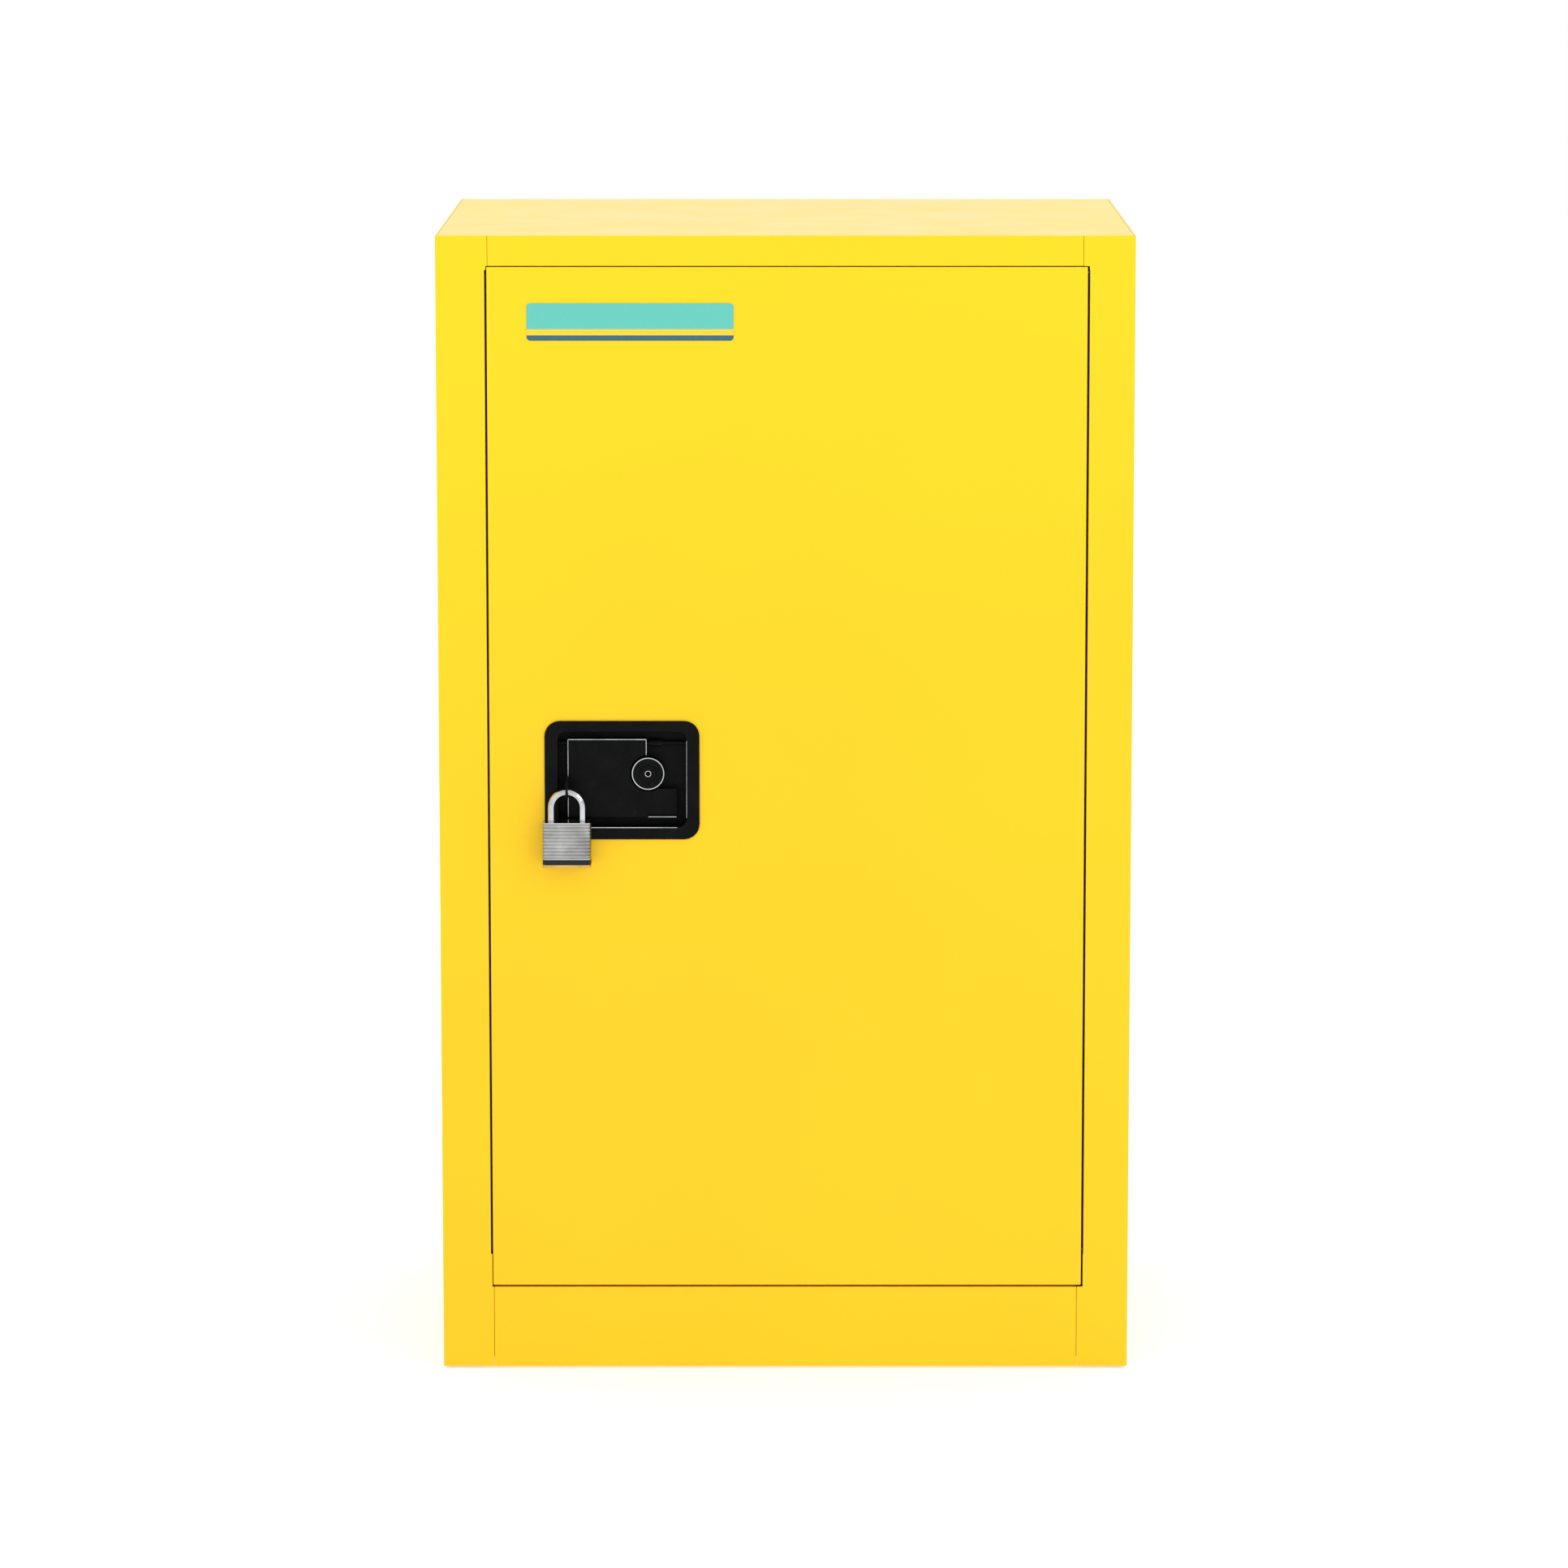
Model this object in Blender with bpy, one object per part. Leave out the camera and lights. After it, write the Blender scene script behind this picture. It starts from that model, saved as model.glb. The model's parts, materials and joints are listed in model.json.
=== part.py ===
"""Flammable storage cabinet: double-wall steel, one inset door, flush paddle handle, three-point latch.

Metres, +Z up, the front faces -Y. The origin is under the middle of the whole object, on the floor.
Every depth below is measured back from the front face of the door and the stiles.
"""

from math import radians, sin

import bmesh
import bpy
from mathutils import Matrix, Vector

# --- Driving dimensions -------------------------------------------------------------------------
WIDTH = 0.590
DEPTH = 0.460
HEIGHT = 0.978
SHEET = 0.0012  # thickness of every folded panel
GAP = 0.0003  # between pieces that touch
FLOOR_CLEARANCE = 0.002  # the panels end this far above the floor, and the feet reach it
PADLOCK_PROUD = 0.0235  # the padlock in front of the door's face
VENT_PROUD = 0.014  # the vent caps behind the cabinet's rear edge

FRONT_Y = (PADLOCK_PROUD - DEPTH - VENT_PROUD) / 2  # centres the whole object on Y = 0
HALF_WIDTH = WIDTH / 2

# Front frame. The stiles are unequal: the latch side is the wider one.
LEFT_STILE = 0.0412
RIGHT_STILE = 0.0383
RAIL_BOTTOM = 0.9525
PLINTH_TOP = 0.0720
REBATE_DEPTH = 0.0407
STOP_WIDTH = 0.010  # the flange that the door closes against
SEAM_X = 0.2513  # where the rail and the plinth butt against the stiles' sheet
REAR_FLANGE = 0.016

# Door
DOOR_LEFT = -0.2519
DOOR_RIGHT = 0.2547
DOOR_BOTTOM = 0.0738
DOOR_TOP = 0.9515
DOOR_DEPTH = 0.038
SKIN_RETURN = 0.014
NOTCH_BOTTOM = 0.101  # between these heights the stiles stand back from the door's edges
NOTCH_TOP = 0.949
LATCH_END_GAP = 0.0007  # beside the door above and below the notch
HINGE_END_GAP = 0.0016  # wider, because the door's edge swings through it
DOOR_COVER_X = (-0.225, -0.085)  # the opening behind the latch, in the door's inner face
DOOR_COVER_Z = (0.450, 0.590)
COVER_LAP = 0.014  # the cover plate, past that opening on every side
SCREW_HOLE_RADIUS = 0.0024
INNER_FACE_CUT = (0.030, 0.045)  # depths between which a cutter clears the door's inner face

# Continuous hinge, behind the door's right edge
HINGE_X = DOOR_RIGHT - 0.0034
HINGE_DEPTH = 0.0034
BARREL_RADIUS = 0.0019
HINGE_PIN_RADIUS = 0.0009
HINGE_BORE_RADIUS = 0.0012
HINGE_BOTTOM = 0.103
HINGE_TOP = 0.947
KNUCKLES = 11

# Double wall
LINER_X = 0.2543  # inner face of the side liners
LINER_FRONT = 0.041
LINER_BACK = 0.420
SUMP_BOTTOM = 0.027
LINER_BOTTOM = SUMP_BOTTOM + 0.002
LINER_TOP = RAIL_BOTTOM + SHEET
BACK_LINER_HALF_WIDTH = 0.266
PANEL_BACK = DEPTH - 0.0015  # rear face of the back panel
BASE_BOTTOM = 0.0100
BASE_FLANGE_TOP = 0.0250
BASE_FLANGE_DEPTH = (0.050, 0.410)

# Handle
DISH_X = (-0.2051, -0.0732)
DISH_Z = (0.4635, 0.5655)
DISH_RADIUS = 0.013
DISH_PROUD = 0.0018
RECESS_X = (-0.1939, -0.0843)
RECESS_Z = (0.4740, 0.5564)
RECESS_RADIUS = 0.007
RECESS_DEPTH = 0.016
DISH_WALL = 0.0015
LOCK_X = -0.1171
LOCK_Z = 0.5194
LOCK_RADIUS = 0.014
LOCK_FACE = 0.003
PADDLE_X = (-0.1855, -0.0927)
PADDLE_Z = (0.4817, 0.5487)
PADDLE_STEP_X = -0.1185  # the paddle is full height to the left of this
PADDLE_AXIS_X = -0.150
PADDLE_FACE = 0.006
PADDLE_SHEET = 0.0015
PADDLE_PIN_DEPTH = 0.012
PADDLE_PIN_Z = PADDLE_Z[1] - 0.004
PADDLE_PIN_RADIUS = 0.002
PADDLE_TURN = 40.0  # degrees
PADDLE_GRIP_X = -0.1171  # the raised lower lip runs from here to the right edge
PADDLE_LOWER_TOP = 0.5060  # top of the part that passes under the lock
PADDLE_TOP_FOLD_DEPTH = 0.0135
EAR_DEPTH = 0.0150
TAIL_X = (-0.1455, -0.1405)  # passes through the dish to the latch
TAIL_DEPTH = (0.0130, 0.0212)
LUG_HALF_THICKNESS = 0.0010
LUG_PROUD = 0.0205
LUG_Z = (0.5000, 0.5165)
LUG_BORE_RADIUS = 0.0046
LOCK_BODY_RADIUS = 0.0095
LOCK_BODY_BACK = 0.0215
PLUG_RADIUS = 0.0070
PLUG_BACK = 0.0240
KEYWAY_HALF_WIDTH = 0.0006

# Latch behind the dish
LATCH_PLATE_X = (-0.190, -0.1290)
LATCH_PLATE_Z = (0.4900, 0.5540)
LATCH_PLATE_DEPTH = (0.0180, 0.0200)
CAM_X = -0.155
CAM_Z = 0.5215
CAM_RADIUS = 0.023
CAM_DEPTH = (0.0220, 0.0245)
PIVOT_RADIUS = 0.0040
PIVOT_BORE_RADIUS = PIVOT_RADIUS + GAP
STUD_RING = 0.018  # the cam's studs, from its axis
STUD_RADIUS = 0.0022
ROD_DEPTH = (0.0255, 0.0280)
BOLT_DEPTH = (0.0286, 0.0311)
BOLT_TRAVEL = STUD_RING * sin(radians(PADDLE_TURN))
BOLT_REACH = BOLT_TRAVEL - 0.0005  # past the door's edges at rest
TOP_ROD_X = CAM_X + 0.0195
BOTTOM_ROD_X = CAM_X - 0.0195
ROD_HALF_WIDTH = 0.0045
EYE_HALF_HEIGHT = 0.0070
EYE_WALL = 0.0033
BOLT_HALF_HEIGHT = 0.0060
STRIKE_DEPTH = (0.018, 0.037)

# Padlock
SHACKLE_X = PADDLE_X[0] - 0.0004
SHACKLE_DEPTH = -0.0135
SHACKLE_RADIUS = 0.0029
SHACKLE_BEND = 0.0133
SHACKLE_BEND_Z = 0.4930
CASE_X = (-0.2065, -0.1653)
CASE_Z = (0.4425, 0.4810)
CASE_THICKNESS = 0.020
LEG_BORE_RADIUS = 0.0033
TOE_BORE_DEPTH = 0.012
HEEL_BORE_DEPTH = 0.030
TOE_LEG_INSIDE = 0.008
HEEL_LEG_INSIDE = 0.026
CYLINDER_LENGTH = 0.0195

# Inside
SHELF_TOP = 0.520
SHELF_HEIGHT = 0.025
SHELF_HALF_WIDTH = 0.2495
SHELF_DEPTH = (0.046, 0.414)
BRACKET_DEPTH = (0.090, 0.370)
BRACKET_SHEET = 0.0015
BRACKET_LEDGE = 0.022
SLOT_PITCH = 0.057
SLOT_DEPTHS = (0.110, 0.350)
SLOTS_EACH_WAY = 3  # above and below the shelf's own slot

# Vents (x, z)
VENTS = {"lower": (-0.190, 0.140), "upper": (0.190, 0.860)}
VENT_HOLE_RADIUS = 0.0253
VENT_TUBE_RADIUS = 0.0250
VENT_BORE_RADIUS = 0.0230
VENT_COLLAR_RADIUS = 0.0330
VENT_FRONT = 0.4175
VENT_COLLAR_BACK = 0.4622
VENT_CAP_FRONT = VENT_COLLAR_BACK + GAP
VENT_CAP_RADIUS = 0.0310
ARRESTER_DEPTH = (0.4200, 0.4230)
ARRESTER_RADIUS = 0.0226
ARRESTER_HOLE_RADIUS = 0.0028
ARRESTER_HOLES = 6
ARRESTER_HOLE_RING = 0.012

# Earthing stud (x, z) and feet
GROUND_STUD = (0.230, 0.060)
GROUND_HOLE_RADIUS = 0.0033
FOOT_X = 0.274
FOOT_DEPTHS = {"front": 0.024, "rear": DEPTH - 0.024}
FOOT_BORE_RADIUS = 0.0044

# Label
LABEL_X = (-0.2182, -0.0437)
LABEL_Z = (0.8895, 0.9209)
LABEL_THICKNESS = 0.0004

# Colours (linear RGB), roughness, metallic
YELLOW = ((0.955, 0.708, 0.028), 0.35, 0.0)
LINER_YELLOW = ((0.955, 0.708, 0.028), 0.45, 0.0)
BLACK = ((0.008, 0.009, 0.008), 0.42, 0.0)
ZINC = ((0.56, 0.57, 0.58), 0.38, 1.0)
CHROME = ((0.78, 0.79, 0.80), 0.12, 1.0)
BRASS = ((0.72, 0.52, 0.22), 0.30, 1.0)
TEAL = ((0.112, 0.546, 0.462), 0.40, 0.0)
MESH_STEEL = ((0.40, 0.41, 0.42), 0.50, 1.0)

for leftover in list(bpy.data.objects):
    bpy.data.objects.remove(leftover)

PARTS = bpy.data.collections.new("flammable_storage_cabinet")
CUTTERS = bpy.data.collections.new("cutters")
for collection in (PARTS, CUTTERS):
    bpy.context.scene.collection.children.link(collection)


# --- Solids ---------------------------------------------------------------------------------------
def solid_from(mesh_editor):
    mesh = bpy.data.meshes.new("solid")
    mesh_editor.to_mesh(mesh)
    mesh_editor.free()
    made = bpy.data.objects.new("solid", mesh)
    made.hide_render = True
    made.display_type = "WIRE"
    CUTTERS.objects.link(made)
    return made


def block(x, depth, z, corner=0.0, corner_axis="Y"):
    """A box between two values on each axis. corner rounds the edges that run along corner_axis."""
    editor = bmesh.new()
    bmesh.ops.create_cube(editor, size=1)
    low = Vector([round(value, 6) for value in (x[0], FRONT_Y + depth[0], z[0])])
    high = Vector([round(value, 6) for value in (x[1], FRONT_Y + depth[1], z[1])])
    for vertex in editor.verts:
        vertex.co = [high[i] if vertex.co[i] > 0 else low[i] for i in range(3)]
    size = high - low
    if corner:
        along = "XYZ".index(corner_axis)
        edges = [edge for edge in editor.edges
                 if abs((edge.verts[0].co - edge.verts[1].co)[along]) > size[along] / 2]
        bmesh.ops.bevel(editor, geom=edges, offset=corner, segments=5, profile=0.5, affect="EDGES")
    return solid_from(editor)


def drum(axis, centre, span, radius, sides=24, end_radius=None):
    """A cylinder or cone along an axis. centre holds the two other coordinates, in X, depth, Z order."""
    editor = bmesh.new()
    length = span[1] - span[0]
    bmesh.ops.create_cone(editor, cap_ends=True, segments=sides, radius1=radius,
                          radius2=radius if end_radius is None else end_radius, depth=length)
    turn = {"X": Matrix.Rotation(radians(90), 4, "Y"), "Y": Matrix.Rotation(radians(-90), 4, "X"),
            "Z": Matrix.Identity(4)}[axis]
    place = list(centre)
    place.insert("XYZ".index(axis), sum(span) / 2)
    place[1] += FRONT_Y
    bmesh.ops.transform(editor, matrix=Matrix.Translation(place) @ turn, verts=editor.verts)
    return solid_from(editor)


def finish_material(name, look):
    colour, roughness, metallic = look
    material = bpy.data.materials.new(name)
    material.use_nodes = True
    shader = material.node_tree.nodes["Principled BSDF"]
    shader.inputs["Base Color"].default_value = (*colour, 1.0)
    shader.inputs["Roughness"].default_value = roughness
    shader.inputs["Metallic"].default_value = metallic
    return material


def empty(name, x, depth, z, parent=None):
    """A frame on a joint's axis, which carries the pieces that move with it."""
    made = bpy.data.objects.new(name, None)
    PARTS.objects.link(made)
    place = Vector((x, FRONT_Y + depth, z))
    made.location = place - (world_place(parent) if parent else Vector())
    made.parent = parent
    return made


def world_place(item):
    place = item.location.copy()
    return place + world_place(item.parent) if item.parent else place


def piece(name, look, solids, cuts=(), parent=None):
    """Joins the solids, takes the cuts away and makes one named object from the result."""
    first = solids[0]
    helpers = []
    for operation, others in (("UNION", solids[1:]), ("DIFFERENCE", list(cuts))):
        for other in others:
            modifier = first.modifiers.new(operation.lower(), "BOOLEAN")
            modifier.operation = operation
            modifier.solver = "EXACT"
            modifier.object = other
            helpers.append(other)
    graph = bpy.context.evaluated_depsgraph_get()
    mesh = bpy.data.meshes.new_from_object(first.evaluated_get(graph))
    editor = bmesh.new()
    editor.from_mesh(mesh)
    bmesh.ops.dissolve_limit(editor, angle_limit=radians(0.2), verts=editor.verts, edges=editor.edges)
    origin = world_place(parent) if parent else Vector()
    bmesh.ops.translate(editor, vec=-origin, verts=editor.verts)
    editor.to_mesh(mesh)
    editor.free()
    made = bpy.data.objects.new(name, mesh)
    PARTS.objects.link(made)
    made.parent = parent
    mesh.materials.clear()
    mesh.materials.append(finish_material(name, look))
    mesh.shade_smooth()
    mesh.set_sharp_from_angle(angle=radians(35))
    for helper in [first, *helpers]:
        bpy.data.objects.remove(helper)
    return made


# --- Cabinet ---------------------------------------------------------------------------------------
def side_panel(name, side, stile, door_edge, end_gap):
    """Skin, front stile, rebate wall and door stop, folded from one sheet. side is -1 left, +1 right."""
    outer = side * HALF_WIDTH
    inner = outer - side * stile
    end_edge = door_edge + side * end_gap
    butt_edge = side * SEAM_X

    def band(a, b):
        return min(a, b), max(a, b)

    skin = block(band(outer, outer - side * SHEET), (0, DEPTH), (FLOOR_CLEARANCE, HEIGHT))
    stile_plate = block(band(outer, inner), (0, SHEET), (FLOOR_CLEARANCE, HEIGHT))
    upper_end = block(band(outer, end_edge), (0, SHEET), (NOTCH_TOP, RAIL_BOTTOM))
    lower_end = block(band(outer, end_edge), (0, SHEET), (PLINTH_TOP, NOTCH_BOTTOM))
    upper_butt = block(band(outer, butt_edge), (0, SHEET), (RAIL_BOTTOM - GAP / 2, HEIGHT))
    lower_butt = block(band(outer, butt_edge), (0, SHEET), (FLOOR_CLEARANCE, PLINTH_TOP + GAP / 2))
    opening = (PLINTH_TOP + GAP, RAIL_BOTTOM - GAP)
    rebate = block(band(inner, inner + side * SHEET), (0, REBATE_DEPTH), opening)
    stop = block(band(inner + side * SHEET, inner - side * STOP_WIDTH),
                 (REBATE_DEPTH - SHEET, REBATE_DEPTH), opening)
    rear = block(band(outer, outer - side * REAR_FLANGE), (DEPTH - SHEET, DEPTH),
                 (FLOOR_CLEARANCE, HEIGHT))
    cuts = []
    if side < 0:
        cuts.append(bolt_slot((inner - 0.004, inner + 0.004)))
    piece(name, YELLOW, [skin, stile_plate, upper_end, lower_end, upper_butt, lower_butt, rebate, stop,
                         rear], cuts)


def bolt_slot(x):
    middle = CAM_Z + STUD_RING
    return block(x, (BOLT_DEPTH[0] - 0.004, BOLT_DEPTH[1] + 0.004), (middle - 0.009, middle + 0.009))


def rod_slot(x, z):
    return block((x - 0.008, x + 0.008), (ROD_DEPTH[0] - 0.004, ROD_DEPTH[1] + 0.004), z)


def top_and_plinth():
    inset = HALF_WIDTH - SHEET - GAP
    rail_half = SEAM_X - GAP
    left_stop = -HALF_WIDTH + LEFT_STILE + STOP_WIDTH + GAP
    right_stop = HALF_WIDTH - RIGHT_STILE - STOP_WIDTH - GAP
    stop_depth = (REBATE_DEPTH - SHEET, REBATE_DEPTH)
    roof = block((-inset, inset), (SHEET + GAP, DEPTH - SHEET - GAP), (HEIGHT - SHEET, HEIGHT))
    roof_middle = block((-rail_half, rail_half), (0, DEPTH), (HEIGHT - SHEET, HEIGHT))
    rail = block((-rail_half, rail_half), (0, SHEET), (RAIL_BOTTOM, HEIGHT))
    rail_return = block((-rail_half, rail_half), (0, REBATE_DEPTH), (RAIL_BOTTOM, RAIL_BOTTOM + SHEET))
    rail_stop = block((left_stop, right_stop), stop_depth, (RAIL_BOTTOM - STOP_WIDTH, RAIL_BOTTOM + SHEET))
    roof_rear = block((-rail_half, rail_half), (DEPTH - SHEET, DEPTH), (HEIGHT - REAR_FLANGE, HEIGHT))
    piece("top_panel", YELLOW, [roof, roof_middle, rail, rail_return, rail_stop, roof_rear],
          [rod_slot(TOP_ROD_X, (RAIL_BOTTOM - 0.002, RAIL_BOTTOM + 0.004))])

    front = block((-rail_half, rail_half), (0, SHEET), (FLOOR_CLEARANCE, PLINTH_TOP))
    sill = block((-rail_half, rail_half), (0, REBATE_DEPTH), (PLINTH_TOP - SHEET, PLINTH_TOP))
    sill_stop = block((left_stop, right_stop), stop_depth, (PLINTH_TOP - SHEET, PLINTH_TOP + STOP_WIDTH))
    piece("plinth_panel", YELLOW, [front, sill, sill_stop],
          [rod_slot(BOTTOM_ROD_X, (PLINTH_TOP - 0.004, PLINTH_TOP + 0.002))])


def back_and_base():
    inset = HALF_WIDTH - SHEET - GAP
    base_top = BASE_BOTTOM + SHEET
    through = (PANEL_BACK - 0.01, PANEL_BACK + 0.01)
    plate = block((-inset, inset), (PANEL_BACK - SHEET, PANEL_BACK),
                  (base_top + GAP, HEIGHT - SHEET - GAP))
    holes = [drum("Y", spot, through, VENT_HOLE_RADIUS) for spot in VENTS.values()]
    holes.append(drum("Y", GROUND_STUD, through, GROUND_HOLE_RADIUS + 0.0001, 12))
    piece("back_panel", YELLOW, [plate], holes)

    floor = block((-inset, inset), (SHEET + GAP, PANEL_BACK - SHEET - GAP), (BASE_BOTTOM, base_top))
    sides = [block(sorted((side * inset, side * (inset - SHEET))), BASE_FLANGE_DEPTH,
                   (BASE_BOTTOM, BASE_FLANGE_TOP)) for side in (-1, 1)]
    bosses = [drum("Z", spot, (BASE_BOTTOM + 0.0005, 0.0215), 0.009, 16) for spot in foot_spots().values()]
    bores = [drum("Z", spot, (0.005, 0.030), FOOT_BORE_RADIUS, 16) for spot in foot_spots().values()]
    piece("base_panel", YELLOW, [floor, *sides, *bosses], bores)


def foot_spots():
    return {f"{end}_{side}": (sign * FOOT_X, depth)
            for end, depth in FOOT_DEPTHS.items() for side, sign in (("left", -1), ("right", 1))}


def levelling_feet():
    for name, spot in foot_spots().items():
        axis = empty(f"foot_axis_{name}", *spot, 0)
        pad = drum("Z", spot, (0, 0.0080), 0.014, 20, 0.010)
        stud = drum("Z", spot, (0.0075, 0.0500), 0.0040, 12)
        piece(f"levelling_foot_{name}", ZINC, [pad, stud], parent=axis)


def side_liner(name, side):
    """An inner wall with two columns of slots for the shelf brackets' hooks."""
    x = sorted((side * LINER_X, side * (LINER_X + SHEET)))
    flange_x = sorted((side * LINER_X, side * (LINER_X + 0.012)))
    wall = block(x, (LINER_FRONT, LINER_BACK), (LINER_BOTTOM, LINER_TOP))
    flange = block(flange_x, (LINER_FRONT, LINER_FRONT + SHEET), (LINER_BOTTOM, LINER_TOP))
    slots = []
    for depth in SLOT_DEPTHS:
        for step in range(-SLOTS_EACH_WAY, SLOTS_EACH_WAY + 1):
            middle = SHELF_TOP - 0.012 + step * SLOT_PITCH
            slots.append(block((x[0] - 0.003, x[1] + 0.003), (depth - 0.002, depth + 0.002),
                               (middle - 0.008, middle + 0.008)))
    piece(name, LINER_YELLOW, [wall, flange], slots)


def liners():
    side_liner("left_liner", -1)
    side_liner("right_liner", 1)
    inset = LINER_X - GAP
    piece("top_liner", LINER_YELLOW,
          [block((-inset, inset), (LINER_FRONT, LINER_BACK), (RAIL_BOTTOM, LINER_TOP))])
    rear = (LINER_BACK + GAP, LINER_BACK + GAP + SHEET)
    plate = block((-BACK_LINER_HALF_WIDTH, BACK_LINER_HALF_WIDTH), rear, (LINER_BOTTOM, LINER_TOP))
    holes = [drum("Y", spot, (rear[0] - 0.01, rear[1] + 0.01), VENT_HOLE_RADIUS)
             for spot in VENTS.values()]
    piece("back_liner", LINER_YELLOW, [plate], holes)

    depth = (LINER_FRONT, LINER_BACK - GAP)
    tub = block((-inset, inset), depth, (SUMP_BOTTOM, PLINTH_TOP))
    hollow = block((-inset + SHEET, inset - SHEET), (depth[0] + SHEET, depth[1] - SHEET),
                   (SUMP_BOTTOM + SHEET, PLINTH_TOP + 0.01))
    piece("sump_tray", LINER_YELLOW, [tub], [hollow])


def shelf_and_brackets():
    underside = SHELF_TOP - SHELF_HEIGHT
    ledge_bottom = underside - GAP - BRACKET_SHEET
    outer = LINER_X - GAP
    for name, side in (("left", -1), ("right", 1)):
        wall = sorted((side * outer, side * (outer - BRACKET_SHEET)))
        ledge = sorted((side * outer, side * (LINER_X - BRACKET_LEDGE)))
        upright = block(wall, BRACKET_DEPTH, (ledge_bottom, SHELF_TOP - 0.001))
        foot = block(ledge, BRACKET_DEPTH, (ledge_bottom, underside - GAP))
        hooks = []
        for depth in SLOT_DEPTHS:
            hook_x = sorted((side * (outer - 0.001), side * (LINER_X + 0.0045)))
            hooks.append(block(hook_x, (depth - 0.0010, depth + 0.0010),
                               (SHELF_TOP - 0.019, SHELF_TOP - 0.006)))
        piece(f"{name}_shelf_bracket", ZINC, [upright, foot, *hooks])
    half = SHELF_HALF_WIDTH
    tray = block((-half, half), SHELF_DEPTH, (underside, SHELF_TOP))
    hollow = block((-half + SHEET, half - SHEET), (SHELF_DEPTH[0] + SHEET, SHELF_DEPTH[1] - SHEET),
                   (underside + SHEET, SHELF_TOP + 0.01))
    axis = empty("shelf_lift_axis", 0, sum(SHELF_DEPTH) / 2, underside)
    piece("shelf", ZINC, [tray], [hollow], axis)


def vents():
    """Each vent is a tube through both walls, a drilled flame arrester inside and a push-in cap."""
    for name, spot in VENTS.items():
        tube = drum("Y", spot, (VENT_FRONT, VENT_COLLAR_BACK), VENT_TUBE_RADIUS, 32)
        collar = drum("Y", spot, (PANEL_BACK + GAP, VENT_COLLAR_BACK), VENT_COLLAR_RADIUS, 32)
        bore = drum("Y", spot, (VENT_FRONT - 0.02, VENT_COLLAR_BACK + 0.02), VENT_BORE_RADIUS, 32)
        piece(f"{name}_vent_tube", YELLOW, [tube, collar], [bore])

        disc = drum("Y", spot, ARRESTER_DEPTH, ARRESTER_RADIUS, 32)
        offsets = [Vector((0, 0))]
        for step in range(ARRESTER_HOLES):
            turn = Matrix.Rotation(radians(360 * step / ARRESTER_HOLES), 2)
            offsets.append(turn @ Vector((ARRESTER_HOLE_RING, 0)))
        holes = [drum("Y", (spot[0] + offset.x, spot[1] + offset.y),
                      (ARRESTER_DEPTH[0] - 0.01, ARRESTER_DEPTH[1] + 0.01), ARRESTER_HOLE_RADIUS, 8)
                 for offset in offsets]
        piece(f"{name}_flame_arrester", MESH_STEEL, [disc], holes)

        axis = empty(f"{name}_vent_cap_axis", spot[0], VENT_CAP_FRONT, spot[1])
        cap = drum("Y", spot, (VENT_CAP_FRONT, DEPTH + 0.0100), VENT_CAP_RADIUS, 32)
        thread = drum("Y", spot, (DEPTH - 0.0100, VENT_CAP_FRONT + 0.0005), VENT_BORE_RADIUS - 0.0005, 32)
        grip = block((spot[0] - 0.024, spot[0] + 0.024), (DEPTH + 0.0090, DEPTH + VENT_PROUD),
                     (spot[1] - 0.005, spot[1] + 0.005))
        piece(f"{name}_vent_cap", BLACK, [cap, thread, grip], parent=axis)


def earthing_point():
    through = (PANEL_BACK - 0.01, PANEL_BACK + 0.02)
    washer_face = PANEL_BACK + GAP
    nut_face = washer_face + 0.0015
    stud = drum("Y", GROUND_STUD, (PANEL_BACK - 0.0040, DEPTH + 0.0125), 0.0030, 12)
    head = drum("Y", GROUND_STUD, (PANEL_BACK - 0.0045, PANEL_BACK - SHEET - GAP), 0.0070, 16)
    piece("ground_stud", BRASS, [head, stud])
    washer = drum("Y", GROUND_STUD, (washer_face, washer_face + 0.0012), 0.0070, 20)
    piece("ground_washer", ZINC, [washer], [drum("Y", GROUND_STUD, through, GROUND_HOLE_RADIUS, 12)])
    nut = drum("Y", GROUND_STUD, (nut_face, nut_face + 0.0050), 0.0058, 6)
    piece("ground_nut", BRASS, [nut], [drum("Y", GROUND_STUD, through, GROUND_HOLE_RADIUS, 12)])


def strikes():
    inner = -HALF_WIDTH + LEFT_STILE - SHEET - GAP
    middle = CAM_Z + STUD_RING
    plate = block((inner - 0.0020, inner), STRIKE_DEPTH, (middle - 0.025, middle + 0.025))
    piece("side_strike", ZINC, [plate], [bolt_slot((inner - 0.004, inner + 0.004))])
    for name, x, z in (("top_strike", TOP_ROD_X, (RAIL_BOTTOM + SHEET + GAP, RAIL_BOTTOM + 0.0035)),
                       ("bottom_strike", BOTTOM_ROD_X, (PLINTH_TOP - 0.0035, PLINTH_TOP - SHEET - GAP))):
        plate = block((x - 0.022, x + 0.022), STRIKE_DEPTH, z)
        piece(name, ZINC, [plate], [rod_slot(x, (z[0] - 0.002, z[1] + 0.002))])


# --- Hinge -----------------------------------------------------------------------------------------
def barrel(first_knuckle, tongue):
    """Every second knuckle of the hinge, each with the tongue that joins it to its leaf."""
    pitch = (HINGE_TOP - HINGE_BOTTOM) / KNUCKLES
    solids = []
    for index in range(first_knuckle, KNUCKLES, 2):
        z = (HINGE_BOTTOM + index * pitch + GAP, HINGE_BOTTOM + (index + 1) * pitch - GAP)
        solids.append(drum("Z", (HINGE_X, HINGE_DEPTH), z, BARREL_RADIUS, 12))
        solids.append(tongue(z))
    return solids


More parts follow.
